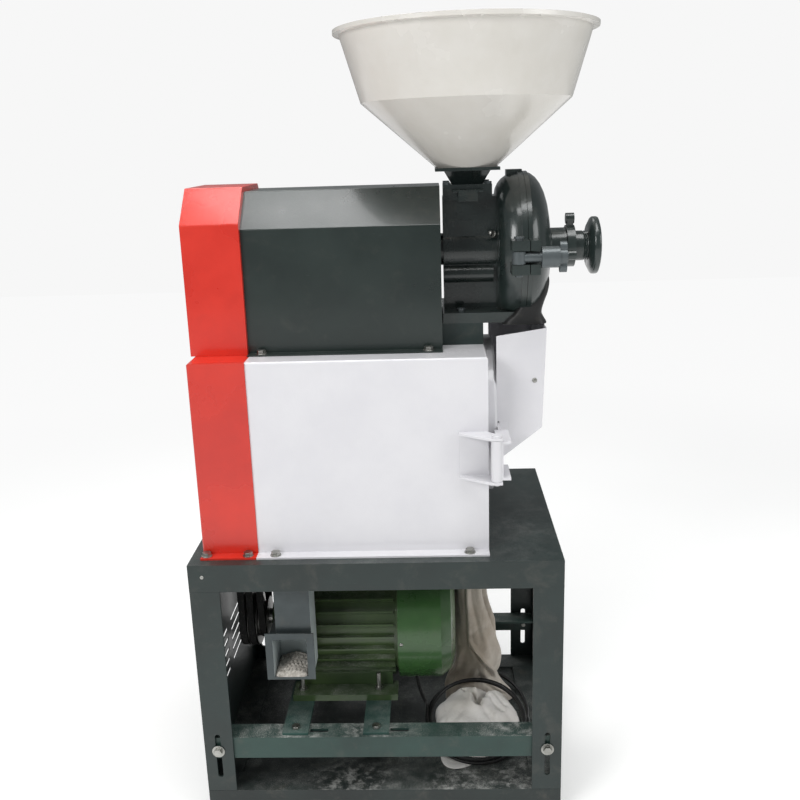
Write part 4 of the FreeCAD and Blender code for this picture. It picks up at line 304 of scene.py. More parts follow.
def brightMetal(name, look):
    # turned or plated metal: fine rings along the length and a cloudy tone
    net = Net(name)
    place = net.place()
    cloud = net.noise(place, 40, 4, 0.6)
    rings = net.noise(net.stretched(place, look["grain"]), 1, 2, 0.6)
    colour = net.mix(cloud.ramp(0.3, 0.75), look["deep"], look["colour"])
    rust = net.noise(place, 90, 5, 0.7).ramp(0.62, 0.75)
    colour = net.mix(rust * look.get("rust", 0.2), colour, linear("6b4a33"))
    finishes[name] = net.surface({"Base Color": colour, "Metallic": 1.0,
                                  "Roughness": cloud.ramp(0.2, 0.8, look["rough"] - 0.06, look["rough"] + 0.1),
                                  "Normal": net.bump(rings, 0.00012)})


brightMetal("turnedSteel", {"colour": linear("b9b9b6"), "deep": linear("9b9b98"), "rough": 0.28, "grain": (1800, 6, 6)})
brightMetal("zincPlate", {"colour": linear("b9b9b4"), "deep": linear("8f8f8a"), "rough": 0.36, "grain": (60, 60, 1200),
                          "rust": 0.3})


drum = {"axisHeight": 0.668, "radius": 0.115, "holesPerMetre": 420}


def sieveMesh(name, spec):
    # punched sheet: round holes on a grid that runs along and round the drum; the holes are not cut but painted dark,
    # as painted shade for the drum's inside seen through them
    net = Net(name)
    place = net.place()
    along = net.axis(place, "X") * spec["holesPerMetre"]
    angle = net.node("ShaderNodeMath", {"operation": "ARCTAN2"},
                     {0: net.axis(place, "Y"), 1: net.axis(place, "Z") - spec["axisHeight"]})
    u = along.fold(1.0) - 0.5
    v = (angle * (spec["radius"] * spec["holesPerMetre"])).fold(1.0) - 0.5
    hole = (u * u + v * v).ramp(0.09, 0.14)
    # painted shade: the hole colour is dark, standing in for the shadow inside the drum
    colour = net.mix(hole, linear("2a2825"), linear("b4b1a8"))
    finishes[name] = net.surface({"Base Color": colour, "Metallic": hole * 0.9, "Roughness": 1 - hole * 0.6,
                                  "Normal": net.bump(hole, 0.0004)})


sieveMesh("sieveMesh", drum)


def rubber(name, look):
    # moulded rubber or plastic with a cloudy tone and grey dust in fine specks
    net = Net(name)
    place = net.place()
    cloud = net.noise(place, 60, 5, 0.6)
    colour = net.mix(cloud.ramp(0.35, 0.75), look["deep"], look["colour"])
    grey = net.noise(place, 300, 3, 0.6).ramp(0.55, 0.7) * look.get("dust", 0.2)
    colour = net.mix(grey, colour, linear("8b8880"))
    rough = cloud.ramp(0.3, 0.7, look["rough"], look["rough"] + 0.15)
    finishes[name] = net.surface({"Base Color": colour, "Roughness": rough,
                                  "Normal": net.bump(net.noise(place, 900, 2), 0.0001)})


rubber("beltRubber", {"colour": linear("171717"), "deep": linear("0e0e0e"), "rough": 0.65, "dust": 0.2})
rubber("cordSheath", {"colour": linear("1c1c1d"), "deep": linear("111112"), "rough": 0.42, "dust": 0.15})
rubber("blackPlastic", {"colour": linear("1d1e1f"), "deep": linear("141415"), "rough": 0.4, "dust": 0.1})


def woodGrain(name):
    # long streaks along X
    net = Net(name)
    place = net.place()
    grain = net.noise(net.stretched(place, (6, 220, 220)), 1, 5, 0.6, 0.5)
    colour = net.mix(grain.ramp(0.3, 0.7), linear("7d6040"), linear("a98a62"))
    finishes[name] = net.surface({"Base Color": colour, "Roughness": 0.7, "Normal": net.bump(grain, 0.0004)})


woodGrain("brushWood")


threadsPerMetre = 1100


def flourCloth(name, look):
    # coarse cotton: threads cross on the piece's own map, creases and flour stains lie over them, and painted shade
    # darkens the cloth towards its top, standing in for the table's shadow
    net = Net(name)
    place = net.place()
    weave = net.node("ShaderNodeUVMap", {"uv_map": "cloth"}, out="UV")
    warp = (net.axis(weave, "X") * threadsPerMetre).fold(1.0)
    weft = (net.axis(weave, "Y") * threadsPerMetre).fold(1.0)
    threads = warp.most(weft)
    stain = net.noise(place, 9, 5, 0.6, 0.5)
    soft = net.noise(place, 34, 4, 0.55, 0.8)
    colour = net.mix(stain.ramp(0.32, 0.68), look["deep"], look["colour"])
    colour = net.mix(soft.ramp(0.5, 0.8) * look["stains"], colour, look["stain"])
    colour = net.mix(threads.ramp(0.1, 0.5, 0.14, 0.0), colour, look["stain"])
    # painted shade: the colour is mixed towards the stain colour as the height rises, standing in for the table's
    # shadow on the sleeve's top
    colour = net.mix(net.axis(place, "Z").ramp(0.2, 0.42, 0, look.get("paintedTopShade", 0)), colour, look["stain"])
    folds = net.bump(net.noise(place, 26, 4, 0.55, 1.0), look["creases"])
    finishes[name] = net.surface({"Base Color": colour, "Roughness": 0.9, "Sheen Weight": 0.25,
                                  "Normal": net.bump(threads, 0.00015, folds)})


# the sleeve's top is darkened with its height: painted shade for the shadow under the table
flourCloth("sleeveCloth", {"colour": linear("c9c1b6"), "deep": linear("a79b8c"), "stain": linear("6a6052"),
                           "stains": 0.35, "creases": 0.003, "paintedTopShade": 0.75})
flourCloth("bagCloth", {"colour": linear("f1eeea"), "deep": linear("ddd8d1"), "stain": linear("a1978c"),
                        "stains": 0.3, "creases": 0.003})


def flourPile(name):
    # loose flour in lumps, with darker flakes of bran
    net = Net(name)
    place = net.place()
    lumps = net.noise(place, 160, 6, 0.7)
    bran = net.noise(place, 700, 3, 0.7).ramp(0.56, 0.66)
    colour = net.mix(lumps.ramp(0.3, 0.7), linear("9a948b"), linear("d3cec6"))
    colour = net.mix(bran * 0.4, colour, linear("7d6c58"))
    finishes[name] = net.surface({"Base Color": colour, "Roughness": 0.95, "Normal": net.bump(lumps, 0.002)})


flourPile("flourPile")
print("finishes ready:", len(finishes))

# Each solid's finish, and how wide its bright edge rounding is in metres (0 leaves the edges crisp).
dress = {
    "table_top": ("framePaint", 0.0012), "leg_front_left": ("framePaint", 0.001),
    "leg_front_right": ("framePaint", 0.001), "leg_rear_left": ("framePaint", 0.001),
    "leg_rear_right": ("framePaint", 0.001), "bottom_frame": ("shelfPaint", 0.001),
    "left_guard_panel": ("framePaint", 0.0004), "sieve_box": ("whitePaint", 0.0006),
    "sieve_floor": ("whitePaint", 0.0004), "sieve_screen": ("sieveMesh", 0),
    "sieve_bearing_housing": ("plainIron", 0.0006), "belt_cover_lower": ("redPaint", 0.0006),
    "belt_cover_upper": ("redPaint", 0.0006), "spindle_cover": ("coverPaint", 0.0006),
    "cover_bolts": ("zincPlate", 0.0005), "bran_spout": ("spoutPaint", 0.0007),
    "door_hinge_bracket": ("whitePaint", 0.0006), "spindle_stand": ("framePaint", 0.0012),
    "spindle_bearings": ("plainIron", 0.0008), "grinder_body": ("castPaint", 0),
    "grinder_cover": ("castPaint", 0),
    "grinder_fasteners": ("clampIron", 0.0005), "hopper": ("creamPaint", 0),
    "hopper_neck": ("castPaint", 0), "spindle_belts": ("beltRubber", 0),
    "sieve_belt": ("beltRubber", 0), "motor_rails": ("railPaint", 0.0008),
    "motor_straps": ("strapPaint", 0.0006), "carriage_bolts": ("zincPlate", 0.0005),
    "motor_housing": ("motorPaint", 0), "motor_end_shields": ("motorPaint", 0.0008),
    "fan_cover": ("fanCoverPaint", 0.0005), "terminal_box": ("motorPaint", 0.0015),
    "cable_gland": ("blackPlastic", 0.0006), "motor_shaft": ("turnedSteel", 0.0008),
    "motor_fan": ("blackPlastic", 0.0004), "motor_pulley": ("plainIron", 0.0004),
    "spindle": ("turnedSteel", 0), "spindle_pulley": ("plainIron", 0.0004), "moving_disc": ("plainIron", 0.0006),
    "sieve_shaft": ("turnedSteel", 0.0008), "sieve_brush": ("brushWood", 0.0008),
    "sieve_pulley": ("plainIron", 0.0004), "sieve_door": ("whitePaint", 0.0006),
    "door_chute": ("whitePaint", 0.0006), "plunger": ("plainIron", 0.0006), "fixed_disc": ("plainIron", 0.0006),
    "adjuster_stem": ("castPaint", 0.0006),
    "lock_ring": ("castPaint", 0.0008), "swing_bolt": ("clampIron", 0.0006), "clamp_nut": ("clampIron", 0.001),
    "feed_gate": ("castPaint", 0.0006),
}
# The faces further forward than a depth have a finish of their own.
foreEnds = {"bran_spout": ("mouthIron", -0.155)}
# The belts follow the spindle or the sieve above the first height and the sliding motor below the second.
beltHeights = {"spindle_belts": (0.86, 0.335), "sieve_belt": (0.56, 0.335)}
# Edges that bend more than this stay sharp in the shading, on dressed solids and on shapes made here.
sharpSolid = math.radians(28)
sharpShape = math.radians(40)


def dressSolid(name, finish, edge):
    # a copy of the solid whose loose triangles are joined, with smooth curves and rounded edges
    mesh = frame["nodes"][name].data.copy()
    mesh.name = name + "Dressed"
    work = bmesh.new()
    work.from_mesh(mesh)
    bmesh.ops.remove_doubles(work, verts=work.verts, dist=2e-6)
    bmesh.ops.dissolve_limit(work, angle_limit=math.radians(0.6), verts=work.verts, edges=work.edges)
    for face in work.faces:
        face.smooth = True
    for line in work.edges:
        if len(line.link_faces) != 2 or line.calc_face_angle(0) > sharpSolid:
            line.smooth = False
    work.to_mesh(mesh)
    work.free()
    mesh.materials.clear()
    mesh.materials.append(finishes[finish])
    if name in foreEnds:
        foreFinish, limit = foreEnds[name]
        mesh.materials.append(finishes[foreFinish])
        for face in mesh.polygons:
            face.material_index = 1 if face.center.y < limit else 0
    for attribute in [a.name for a in mesh.attributes if a.name == "custom_normal"]:
        mesh.attributes.remove(mesh.attributes[attribute])
    piece = bpy.data.objects.new(name + "Dressed", mesh)
    bpy.context.scene.collection.objects.link(piece)
    if edge:
        rounding = piece.modifiers.new("edges", "BEVEL")
        rounding.width = edge
        rounding.segments = 2
        rounding.limit_method = "ANGLE"
        rounding.angle_limit = sharpShape
        rounding.harden_normals = True
    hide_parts(name)
    if name in beltHeights:
        upper, lower = beltHeights[name]
        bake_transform(piece, "machine", "motor_carriage", start=(0, 0, upper), end=(0, 0, lower))
    else:
        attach(piece, bodyOf[name])


for name, (finish, edge) in dress.items():
    dressSolid(name, finish, edge)
print("solids dressed:", len(dress))


def gridPiece(name, points, finish, body, wrapU=True, wrapV=False, capStart=False, capEnd=False):
    # points[i, j] are a surface's places: i runs along it and j round it; wraps join the last to the first
    rows, columns = points.shape[:2]
    flat = points.reshape(-1, 3)
    i = np.arange(rows if wrapV else rows - 1)
    j = np.arange(columns if wrapU else columns - 1)
    ii, jj = np.meshgrid(i, j, indexing="ij")
    nextI, nextJ = (ii + 1) % rows, (jj + 1) % columns
    quads = np.stack([ii * columns + jj, ii * columns + nextJ, nextI * columns + nextJ, nextI * columns + jj], -1)
    faces = quads.reshape(-1, 4).tolist()
    if capStart:
        faces.append(list(range(columns))[::-1])
    if capEnd:
        faces.append([(rows - 1) * columns + k for k in range(columns)])
    mesh = bpy.data.meshes.new(name)
    mesh.from_pydata(flat.tolist(), [], faces)
    work = bmesh.new()
    work.from_mesh(mesh)
    bmesh.ops.remove_doubles(work, verts=work.verts, dist=1e-6)
    bmesh.ops.recalc_face_normals(work, faces=work.faces)
    for face in work.faces:
        face.smooth = True
    for line in work.edges:
        if line.calc_face_angle(0) > sharpShape:
            line.smooth = False
    work.to_mesh(mesh)
    work.free()
    mesh.materials.append(finishes[finish])
    piece = bpy.data.objects.new(name, mesh)
    bpy.context.scene.collection.objects.link(piece)
    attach(piece, body)
    return piece


def turnedPoints(profile, centre, axis, steps=64):
    # a profile of (distance along, radius) turned about an axis through centre
    profile = np.array(profile, float)
    angle = np.linspace(0, tau, steps, endpoint=False)
    along = np.array(axis, float)
    side = np.cross(along, (0, 0, 1.0)) if abs(along[2]) < 0.9 else np.array((1.0, 0, 0))
    side = side / np.linalg.norm(side)
    other = np.cross(along, side)
    ring = np.cos(angle)[:, None] * side + np.sin(angle)[:, None] * other
    return (np.array(centre, float) + profile[:, None, 0:1] * along + profile[:, None, 1:2] * ring[None])


def turnedPiece(name, profile, centre, axis, finish, body, steps=64):
    return gridPiece(name, turnedPoints(profile, centre, axis, steps), finish, body)


def clothMap(piece, width, height):
    # a flat map in metres for the weave: u goes round the piece by its angle, v goes up it
    mesh = piece.data
    places = np.zeros(len(mesh.vertices) * 3)
    mesh.vertices.foreach_get("co", places)
    places = places.reshape(-1, 3)
    middle = places.mean(0)
    loops = np.zeros(len(mesh.loops), dtype=np.int32)
    mesh.loops.foreach_get("vertex_index", loops)
    angle = np.arctan2(places[:, 1] - middle[1], places[:, 0] - middle[0])[loops]
    starts = np.zeros(len(mesh.polygons), dtype=np.int32)
    totals = np.zeros(len(mesh.polygons), dtype=np.int32)
    mesh.polygons.foreach_get("loop_start", starts)
    mesh.polygons.foreach_get("loop_total", totals)
    first = np.repeat(angle[starts], totals)
    angle = angle + tau * np.round((first - angle) / tau)
    rise = places[:, 2][loops] - places[:, 2].min()
    layer = mesh.uv_layers.new(name="cloth")
    layer.data.foreach_set("uv", np.stack([angle / tau * width, rise / rise.max() * height], -1).ravel())


# The flour sleeve: oval rings from the outlet collar down to the shelf, where its slack spreads behind the bag.
sleeve = {
    "rings": [  # x, y, z, half width in x, half width in y, depth of the folds
        (0.163, 0.060, 0.474, 0.0345, 0.0530, 0.0006), (0.163, 0.060, 0.462, 0.0330, 0.0520, 0.0010),
        (0.163, 0.060, 0.450, 0.0335, 0.0520, 0.0022), (0.163, 0.060, 0.405, 0.0320, 0.0520, 0.0035),
        (0.163, 0.060, 0.350, 0.0295, 0.0500, 0.0042), (0.164, 0.060, 0.290, 0.0280, 0.0480, 0.0045),
        (0.171, 0.059, 0.235, 0.0350, 0.0450, 0.0046), (0.1755, 0.058, 0.190, 0.0405, 0.0390, 0.0046),
        (0.180, 0.057, 0.152, 0.0445, 0.0340, 0.0040), (0.176, 0.058, 0.124, 0.0450, 0.0270, 0.0036),
        (0.168, 0.060, 0.104, 0.0480, 0.0240, 0.0032), (0.170, 0.060, 0.082, 0.0570, 0.0240, 0.0030),
        (0.178, 0.060, 0.064, 0.0650, 0.0250, 0.0020), (0.180, 0.060, 0.0485, 0.0670, 0.0250, 0.0008)],
    # crease: angle where it starts, turn per length of the sleeve, where it starts and ends, half width, depth
    "creases": [(4.10, 6.0, 0.50, 0.80, 0.07, 1.5), (4.70, 3.6, 0.66, 0.95, 0.08, 1.2),
                (5.35, 1.2, 0.10, 0.52, 0.07, 1.0), (4.45, -1.0, 0.20, 0.55, 0.09, 0.8),
                (3.7, -2.0, 0.55, 0.9, 0.08, 1.2), (1.2, 2.0, 0.3, 0.9, 0.1, 1.2)],
    "around": 180, "along": 190, "wall": 0.0009, "map": (0.32, 0.43),
}


def smoothRows(rows, count):
    # the rows of numbers carried smoothly between their places: a cubic through each four neighbours
    rows = np.array(rows, float)
    spots = np.linspace(0, len(rows) - 1, count)
    low = np.clip(np.floor(spots).astype(int), 0, len(rows) - 2)
    t = (spots - low)[:, None]
    before, here = rows[np.clip(low - 1, 0, None)], rows[low]
    after, beyond = rows[low + 1], rows[np.clip(low + 2, None, len(rows) - 1)]
    return 0.5 * (2 * here + (after - before) * t + (2 * before - 5 * here + 4 * after - beyond) * t ** 2
                  + (3 * here - before - 3 * after + beyond) * t ** 3)


def roundedSquare(angle, power):
    # how far a ring goes out at each angle for its shape to be a square with rounded corners
    return (np.abs(np.cos(angle)) ** power + np.abs(np.sin(angle)) ** power) ** (-1 / power)


def hangSleeve(spec):
    # each ring is an oval pushed in and out by slow waves that drift round it as they go down, and by a few
    # pinched creases: a crease is a narrow groove with a soft ridge beside it, whose angle changes with height
    rows = smoothRows(spec["rings"], spec["along"])
    angle = np.linspace(0, tau, spec["around"], endpoint=False)[None]
    drop = np.linspace(0, 1, spec["along"])[:, None]
    folds = (0.5 * np.sin(3 * angle + 7.0 * drop + 0.9)
             + 0.32 * np.sin(5 * angle - 9.0 * drop + 2.0 + np.sin(6 * drop))
             + 0.22 * np.sin(9 * angle + 13 * drop + 1.4 * np.sin(9 * drop)) + 0.10 * np.sin(16 * angle - 22 * drop))
    for centre, drift, high, low, width, depth in spec["creases"]:
        away = (angle - centre - drift * (drop - high) + math.pi) % tau - math.pi
        share = np.clip((drop - high) / 0.06, 0, 1) * np.clip((low - drop) / 0.06, 0, 1)
        folds = folds + depth * share * (1.3 * np.exp(-((away - 2.2 * width) / (1.7 * width)) ** 2)
                                         - np.exp(-(away / width) ** 2))
    out = rows[:, 5:6] * folds
    gather = 0.0011 * np.sin(22 * angle) * np.exp(-((drop - 0.04) / 0.05) ** 2)
    points = np.stack([rows[:, 0:1] + (rows[:, 3:4] + out + gather) * np.cos(angle),
                       rows[:, 1:2] + (rows[:, 4:5] + out + gather) * np.sin(angle),
                       rows[:, 2:3] + 0 * angle], -1)
    piece = gridPiece("flourSleeve", points, "sleeveCloth", "machine")
    clothMap(piece, *spec["map"])
    wall = piece.modifiers.new("wall", "SOLIDIFY")
    wall.thickness = spec["wall"]
    wall.offset = 0
    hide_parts("cloth_sleeve")


hangSleeve(sleeve)

# The flour bag: a slack closed bag lying on the shelf inside the coil of cable, pinched where it folds, with one
# flat corner that slips out under the coil towards the front.
bag = {
    "middle": (0.170, -0.061), "halves": (0.0790, 0.0735), "floor": 0.0464, "tall": 0.0730,
    "profile": [  # share of the half width, height share, how far the flat corner goes out
        (0.0, 1.0, 0), (0.3, 0.985, 0), (0.52, 0.94, 0), (0.72, 0.85, 0), (0.87, 0.72, 0), (0.965, 0.56, 0),
        (0.995, 0.40, 0), (0.97, 0.25, 0), (0.90, 0.12, 0), (0.86, 0.05, 0.12), (0.88, 0.042, 0.8),
        (0.89, 0.028, 1.0), (0.885, 0.008, 0.98), (0.8, 0.0, 0.7), (0.4, 0.0, 0), (0.0, 0.0, 0)],
    "corner": {"angle": 4.27, "spread": 0.42, "out": 0.55},
    # pinch: two ends in x and y, half width, depth
    "pinches": [((0.149, -0.018), (0.165, -0.047), 0.0036, 0.0110), ((0.165, -0.047), (0.1715, -0.073), 0.0040, 0.0120),
                ((0.203, 0.002), (0.178, -0.046), 0.0070, 0.0140), ((0.178, -0.046), (0.1715, -0.073), 0.0050, 0.0130),
                ((0.1715, -0.073), (0.192, -0.098), 0.0060, 0.0030), ((0.205, -0.040), (0.222, -0.062), 0.0050, 0.0040),
                ((0.196, -0.052), (0.214, -0.080), 0.0045, 0.0035), ((0.140, -0.085), (0.118, -0.110), 0.0070, 0.0030)],
    "around": 260, "up": 190, "map": (0.5, 0.2), "squareness": 2.35,
}


def layBag(spec):
    # rings from the crown to the underside: half width times the profile's share, rippled by slow waves round it,
    # and lowered along each pinch by a bell curve of the distance from its line
    rows = smoothRows(spec["profile"], spec["up"])
    lon = np.linspace(0, tau, spec["around"], endpoint=False)[None]
    share, high, corner = (rows[:, k:k + 1] for k in range(3))
    side = np.clip(share, 0, 1) * np.clip(high * 5, 0, 1)
    ripple = (0.018 * np.sin(5 * lon + 3 * high) + 0.013 * np.sin(8 * lon - 5 * high)
              + 0.008 * np.sin(15 * lon + 7 * high))
    away = (lon - spec["corner"]["angle"] + math.pi) % tau - math.pi
    slip = spec["corner"]["out"] * np.exp(-(away / spec["corner"]["spread"]) ** 2)
    reach = share * (1 + ripple * side) + corner * slip
    square = roundedSquare(lon, spec["squareness"])
    x = spec["middle"][0] + spec["halves"][0] * reach * square * np.cos(lon)
    y = spec["middle"][1] + spec["halves"][1] * reach * square * np.sin(lon)
    z = spec["floor"] + spec["tall"] * high + 0 * lon
    crown = np.clip((high - 0.35) / 0.3, 0, 1)
    z = z + crown * 0.0022 * (np.sin(x * 90 + 1) + np.sin(y * 110 + x * 60))
    for (x1, y1), (x2, y2), width, depth in spec["pinches"]:
        t = np.clip(((x - x1) * (x2 - x1) + (y - y1) * (y2 - y1)) / ((x2 - x1) ** 2 + (y2 - y1) ** 2), 0, 1)
        gap = np.hypot(x - x1 - t * (x2 - x1), y - y1 - t * (y2 - y1))
        ridge = 0.35 * np.exp(-((gap - 2.6 * width) / (1.5 * width)) ** 2)
        z = z - crown * depth * (np.exp(-(gap / width) ** 2) - ridge)
    points = np.stack([x, y, np.maximum(z, spec["floor"])], -1)
    piece = gridPiece("flourBag", points[::-1], "bagCloth", "machine")
    clothMap(piece, *spec["map"])
    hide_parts("flour_bag")


layBag(bag)

# The mains lead: out of the motor's gland, down behind the motor, two and a half turns round the bag, and
# a short tail to the plug behind the bag. Places are in metres.
lead = {
    "exit": (-0.005, 0.0558, 0.397), "diameter": 0.007,
    "route": [(-0.005, 0.084, 0.391), (0.003, 0.111, 0.367), (0.014, 0.129, 0.327), (0.024, 0.137, 0.281),
              (0.033, 0.136, 0.233), (0.040, 0.127, 0.188), (0.046, 0.108, 0.148), (0.051, 0.080, 0.117),
              (0.057, 0.046, 0.098), (0.065, 0.014, 0.089), (0.074, -0.014, 0.086)],
    "coil": {"middle": (0.1695, -0.0620, 0.0835), "radius": 0.0930, "tilt": 18.5, "start": 165, "end": 1076,
             "perTurn": 18, "spread": 0.0042},
    "tail": [(0.266, -0.046, 0.074), (0.270, -0.018, 0.067), (0.271, 0.012, 0.061), (0.269, 0.040, 0.057),
             (0.264, 0.066, 0.056), (0.254, 0.090, 0.057), (0.240, 0.109, 0.060), (0.225, 0.119, 0.0635),
             (0.210, 0.122, 0.0653)],
    # above the first height it follows the sliding motor, below the second it lies still
    "length": 2.12, "heights": (0.395, 0.16),
}


def routeOf(spec):
    coil = spec["coil"]
    turn = np.radians(np.linspace(coil["start"], coil["end"],
                                  int((coil["end"] - coil["start"]) / 360 * coil["perTurn"]) + 1))
    tilt = math.radians(coil["tilt"])
    wander = tau / 3 * (turn - turn[0]) / tau + 0.9
    reach = coil["radius"] + coil["spread"] * np.cos(wander)
    lift = coil["spread"] * np.sin(wander)
    turns = np.stack([coil["middle"][0] + reach * np.cos(turn),
                      coil["middle"][1] + reach * np.sin(turn) * math.cos(tilt) - lift * math.sin(tilt),
                      coil["middle"][2] + reach * np.sin(turn) * math.sin(tilt) + lift * math.cos(tilt)], -1)
    return [spec["exit"], *spec["route"], *turns.tolist(), *spec["tail"]]


def splineMesh(name, points, thickness):
    # the mesh of a smooth line through the route: bare points when it has no thickness, else a round tube
    line = bpy.data.curves.new(name, "CURVE")
    line.dimensions = "3D"
    spline = line.splines.new("NURBS")
    spline.points.add(len(points) - 1)
    spline.points.foreach_set("co", np.array([(*p, 1) for p in points]).ravel())
    spline.order_u = 3
    spline.use_endpoint_u = True
    spline.resolution_u = 6
    line.bevel_depth = thickness / 2
    line.bevel_resolution = 4
    line.use_fill_caps = thickness > 0
    holder = bpy.data.objects.new(name + "Spline", line)
    return bpy.data.meshes.new_from_object(holder)


def layLead(spec):
    points = routeOf(spec)
    bare = splineMesh("leadLine", points, 0)
    places = np.zeros(len(bare.vertices) * 3)
    bare.vertices.foreach_get("co", places)
    places = places.reshape(-1, 3)
    mesh = splineMesh("mainsLead", points, spec["diameter"])
    mesh.name = "mainsLead"
    mesh.materials.clear()
    mesh.materials.append(finishes["cordSheath"])
    mesh.polygons.foreach_set("use_smooth", np.ones(len(mesh.polygons), dtype=bool))
    piece = bpy.data.objects.new("mainsLead", mesh)
    bpy.context.scene.collection.objects.link(piece)
    upper, lower = spec["heights"]
    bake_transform(piece, "motor_carriage", "machine", start=(0, 0, upper), end=(0, 0, lower))
    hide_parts("power_lead", "cable_coil")
    return piece, places


mainsLead, leadLine = layLead(lead)

# The strain relief: a ribbed taper round the first three centimetres of the lead, out of the gland.
relief = {"ribs": 6, "profile": [(0.0, 0.0036), (0.0, 0.0062), (0.003, 0.0066), (0.028, 0.0046), (0.029, 0.0040),
                                 (0.029, 0.0036)]}


def makeRelief(spec, line):
    # rings square to the lead's own line: radius = the taper, less a groove between each two ribs
    run = np.concatenate([[0], np.cumsum(np.linalg.norm(np.diff(line, axis=0), axis=1))])
    profile = np.array(spec["profile"])
    taper = np.linspace(0.003, 0.028, 80)
    radius = np.interp(taper, profile[2:4, 0], profile[2:4, 1])
    radius = radius - 0.0009 * (np.cos((taper - 0.003) / 0.025 * spec["ribs"] * tau) > 0.35)
    shape = np.concatenate([profile[:3], np.stack([taper, radius], -1), profile[3:]])
    middle = np.stack([np.interp(shape[:, 0], run, line[:, k]) for k in range(3)], -1)
    ahead = np.stack([np.interp(shape[:, 0] + 0.002, run, line[:, k]) for k in range(3)], -1) - middle
    ahead = ahead / np.linalg.norm(ahead, axis=1)[:, None]
    side = np.cross(ahead, (0, 0, 1.0))
    side = side / np.linalg.norm(side, axis=1)[:, None]
    other = np.cross(ahead, side)
    angle = np.linspace(0, tau, 32, endpoint=False)
    ring = np.cos(angle)[None, :, None] * side[:, None] + np.sin(angle)[None, :, None] * other[:, None]
    return gridPiece("strainRelief", middle[:, None] + shape[:, 1][:, None, None] * ring, "blackPlastic",
                     "motor_carriage", wrapV=True)


makeRelief(relief, leadLine)

# The plug: a moulded grip with ribs that widens to its face, and two round pins.
plug = {"middle": (0.214, 0.122, 0.0653), "profile": [(0.004, 0.0), (0.004, 0.0046), (0, 0.0062), (-0.004, 0.0070),
        (-0.008, 0.0084), (-0.010, 0.0082), (-0.013, 0.0104), (-0.015, 0.0101), (-0.018, 0.0126), (-0.020, 0.0123),
        (-0.024, 0.0152), (-0.031, 0.0178), (-0.036, 0.0187), (-0.046, 0.0188), (-0.048, 0.0180), (-0.048, 0.0)]}


def makePlug(spec):
    body = turnedPoints(spec["profile"], spec["middle"], (1, 0, 0), 48)
    body[..., 2] = spec["middle"][2] + (body[..., 2] - spec["middle"][2]) * 0.97
    grip = gridPiece("plugBody", body, "blackPlastic", "machine")
    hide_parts("mains_plug")
    pins = []
    for number, side in enumerate((-0.0095, 0.0095)):
        centre = (spec["middle"][0], spec["middle"][1] + side, spec["middle"][2])
        shape = [(-0.046, 0.0), (-0.046, 0.0024), (-0.0655, 0.0024), (-0.067, 0.0012), (-0.067, 0.0)]
        pins.append(turnedPiece("plugPin%d" % number, shape, centre, (1, 0, 0), "turnedSteel", "machine",
                                20))
    return [grip, *pins]


plugPieces = makePlug(plug)
print("cloth and lead made")

# Bran in the spout's mouth: a heap that fills the mouth's floor and rises to the back.
branHeap = {"middle": (-0.1535, -0.152), "halves": (0.0285, 0.035), "floor": 0.2531, "rise": 0.008}


def heapBran(spec):
    # rings from the edge inwards: the edge is a rounded rectangle, the height grows towards the middle
    ring = np.linspace(0, tau, 72, endpoint=False)[None]
    inward = np.linspace(0, 1, 26)[:, None]
    reach = (1 - inward) * roundedSquare(ring, 8)
    x = spec["middle"][0] + spec["halves"][0] * reach * np.cos(ring)
    y = spec["middle"][1] + spec["halves"][1] * reach * np.sin(ring)
    back = (y - spec["middle"][1] + spec["halves"][1]) / (2 * spec["halves"][1])
    hill = np.exp(-((x - spec["middle"][0] - 0.002) / 0.017) ** 2) * (0.45 + 0.55 * back)
    rough = 0.0012 * (np.sin(900 * x + 3 * np.sin(500 * y)) + np.sin(700 * y + 1.3))
    z = spec["floor"] + (spec["rise"] * hill + 0.004 + rough) * np.clip(inward * 9, 0, 1)
    top = np.stack([x, y, z], -1)
    bottom = np.stack([x[::-1], y[::-1], np.full_like(z, spec["floor"])], -1)
    gridPiece("branHeap", np.concatenate([bottom[:-1], top]), "flourPile", "machine")


heapBran(branHeap)


def screwHead(name, spec):
    # a shallow dome on a flat underside, facing the front
    radius = spec["radius"]
    dome = [(radius * 0.45 * math.cos(a), radius * math.sin(a)) for a in np.linspace(0.02, math.pi / 2, 9)]
    profile = [(0.0, 0.0), *dome, (-0.0006, radius), (-0.0006, 0.0)]
    points = turnedPoints(profile, spec["place"], (0, -1, 0), 32)
    points[0] = points[1].mean(0)
    gridPiece(name, points, "zincPlate", spec["body"])


screws = {
    "tableScrew": {"place": (-0.284, -0.2202, 0.459), "radius": 0.0032, "body": "machine"},
    "chuteScrew": {"place": (0.268, -0.1102, 0.752), "radius": 0.0042, "body": "sieve_door"},
    "fanCoverScrew": {"place": (0.034, -0.1141, 0.27), "radius": 0.0035, "body": "motor_carriage"},
}
for name, screw in screws.items():
    screwHead(name, screw)

# The thread of the adjusting stem, between the lock ring and the handwheel.
stemThread = {"start": 0.304, "end": 0.3655, "pitch": 0.003, "depth": 0.0013, "radius": 0.02495, "axisHeight": 0.958}


def cutThread(spec):
    # radius = outer radius less depth times a triangle wave that climbs one pitch in each turn
    along = np.linspace(spec["start"], spec["end"], 160)[:, None]
    angle = np.linspace(0, tau, 48, endpoint=False)[None]
    phase = (along / spec["pitch"] + angle / tau) % 1
    runOut = 0.002
    fade = np.clip((along - spec["start"]) / runOut, 0, 1) * np.clip((spec["end"] - along) / runOut, 0, 1)
    radius = spec["radius"] - spec["depth"] * np.abs(2 * phase - 1) * fade
    points = np.stack([along + 0 * angle, radius * np.cos(angle), spec["axisHeight"] + radius * np.sin(angle)], -1)
    gridPiece("stemThread", points, "castPaint", bodyOf["adjuster_stem"], capStart=True, capEnd=True)


cutThread(stemThread)


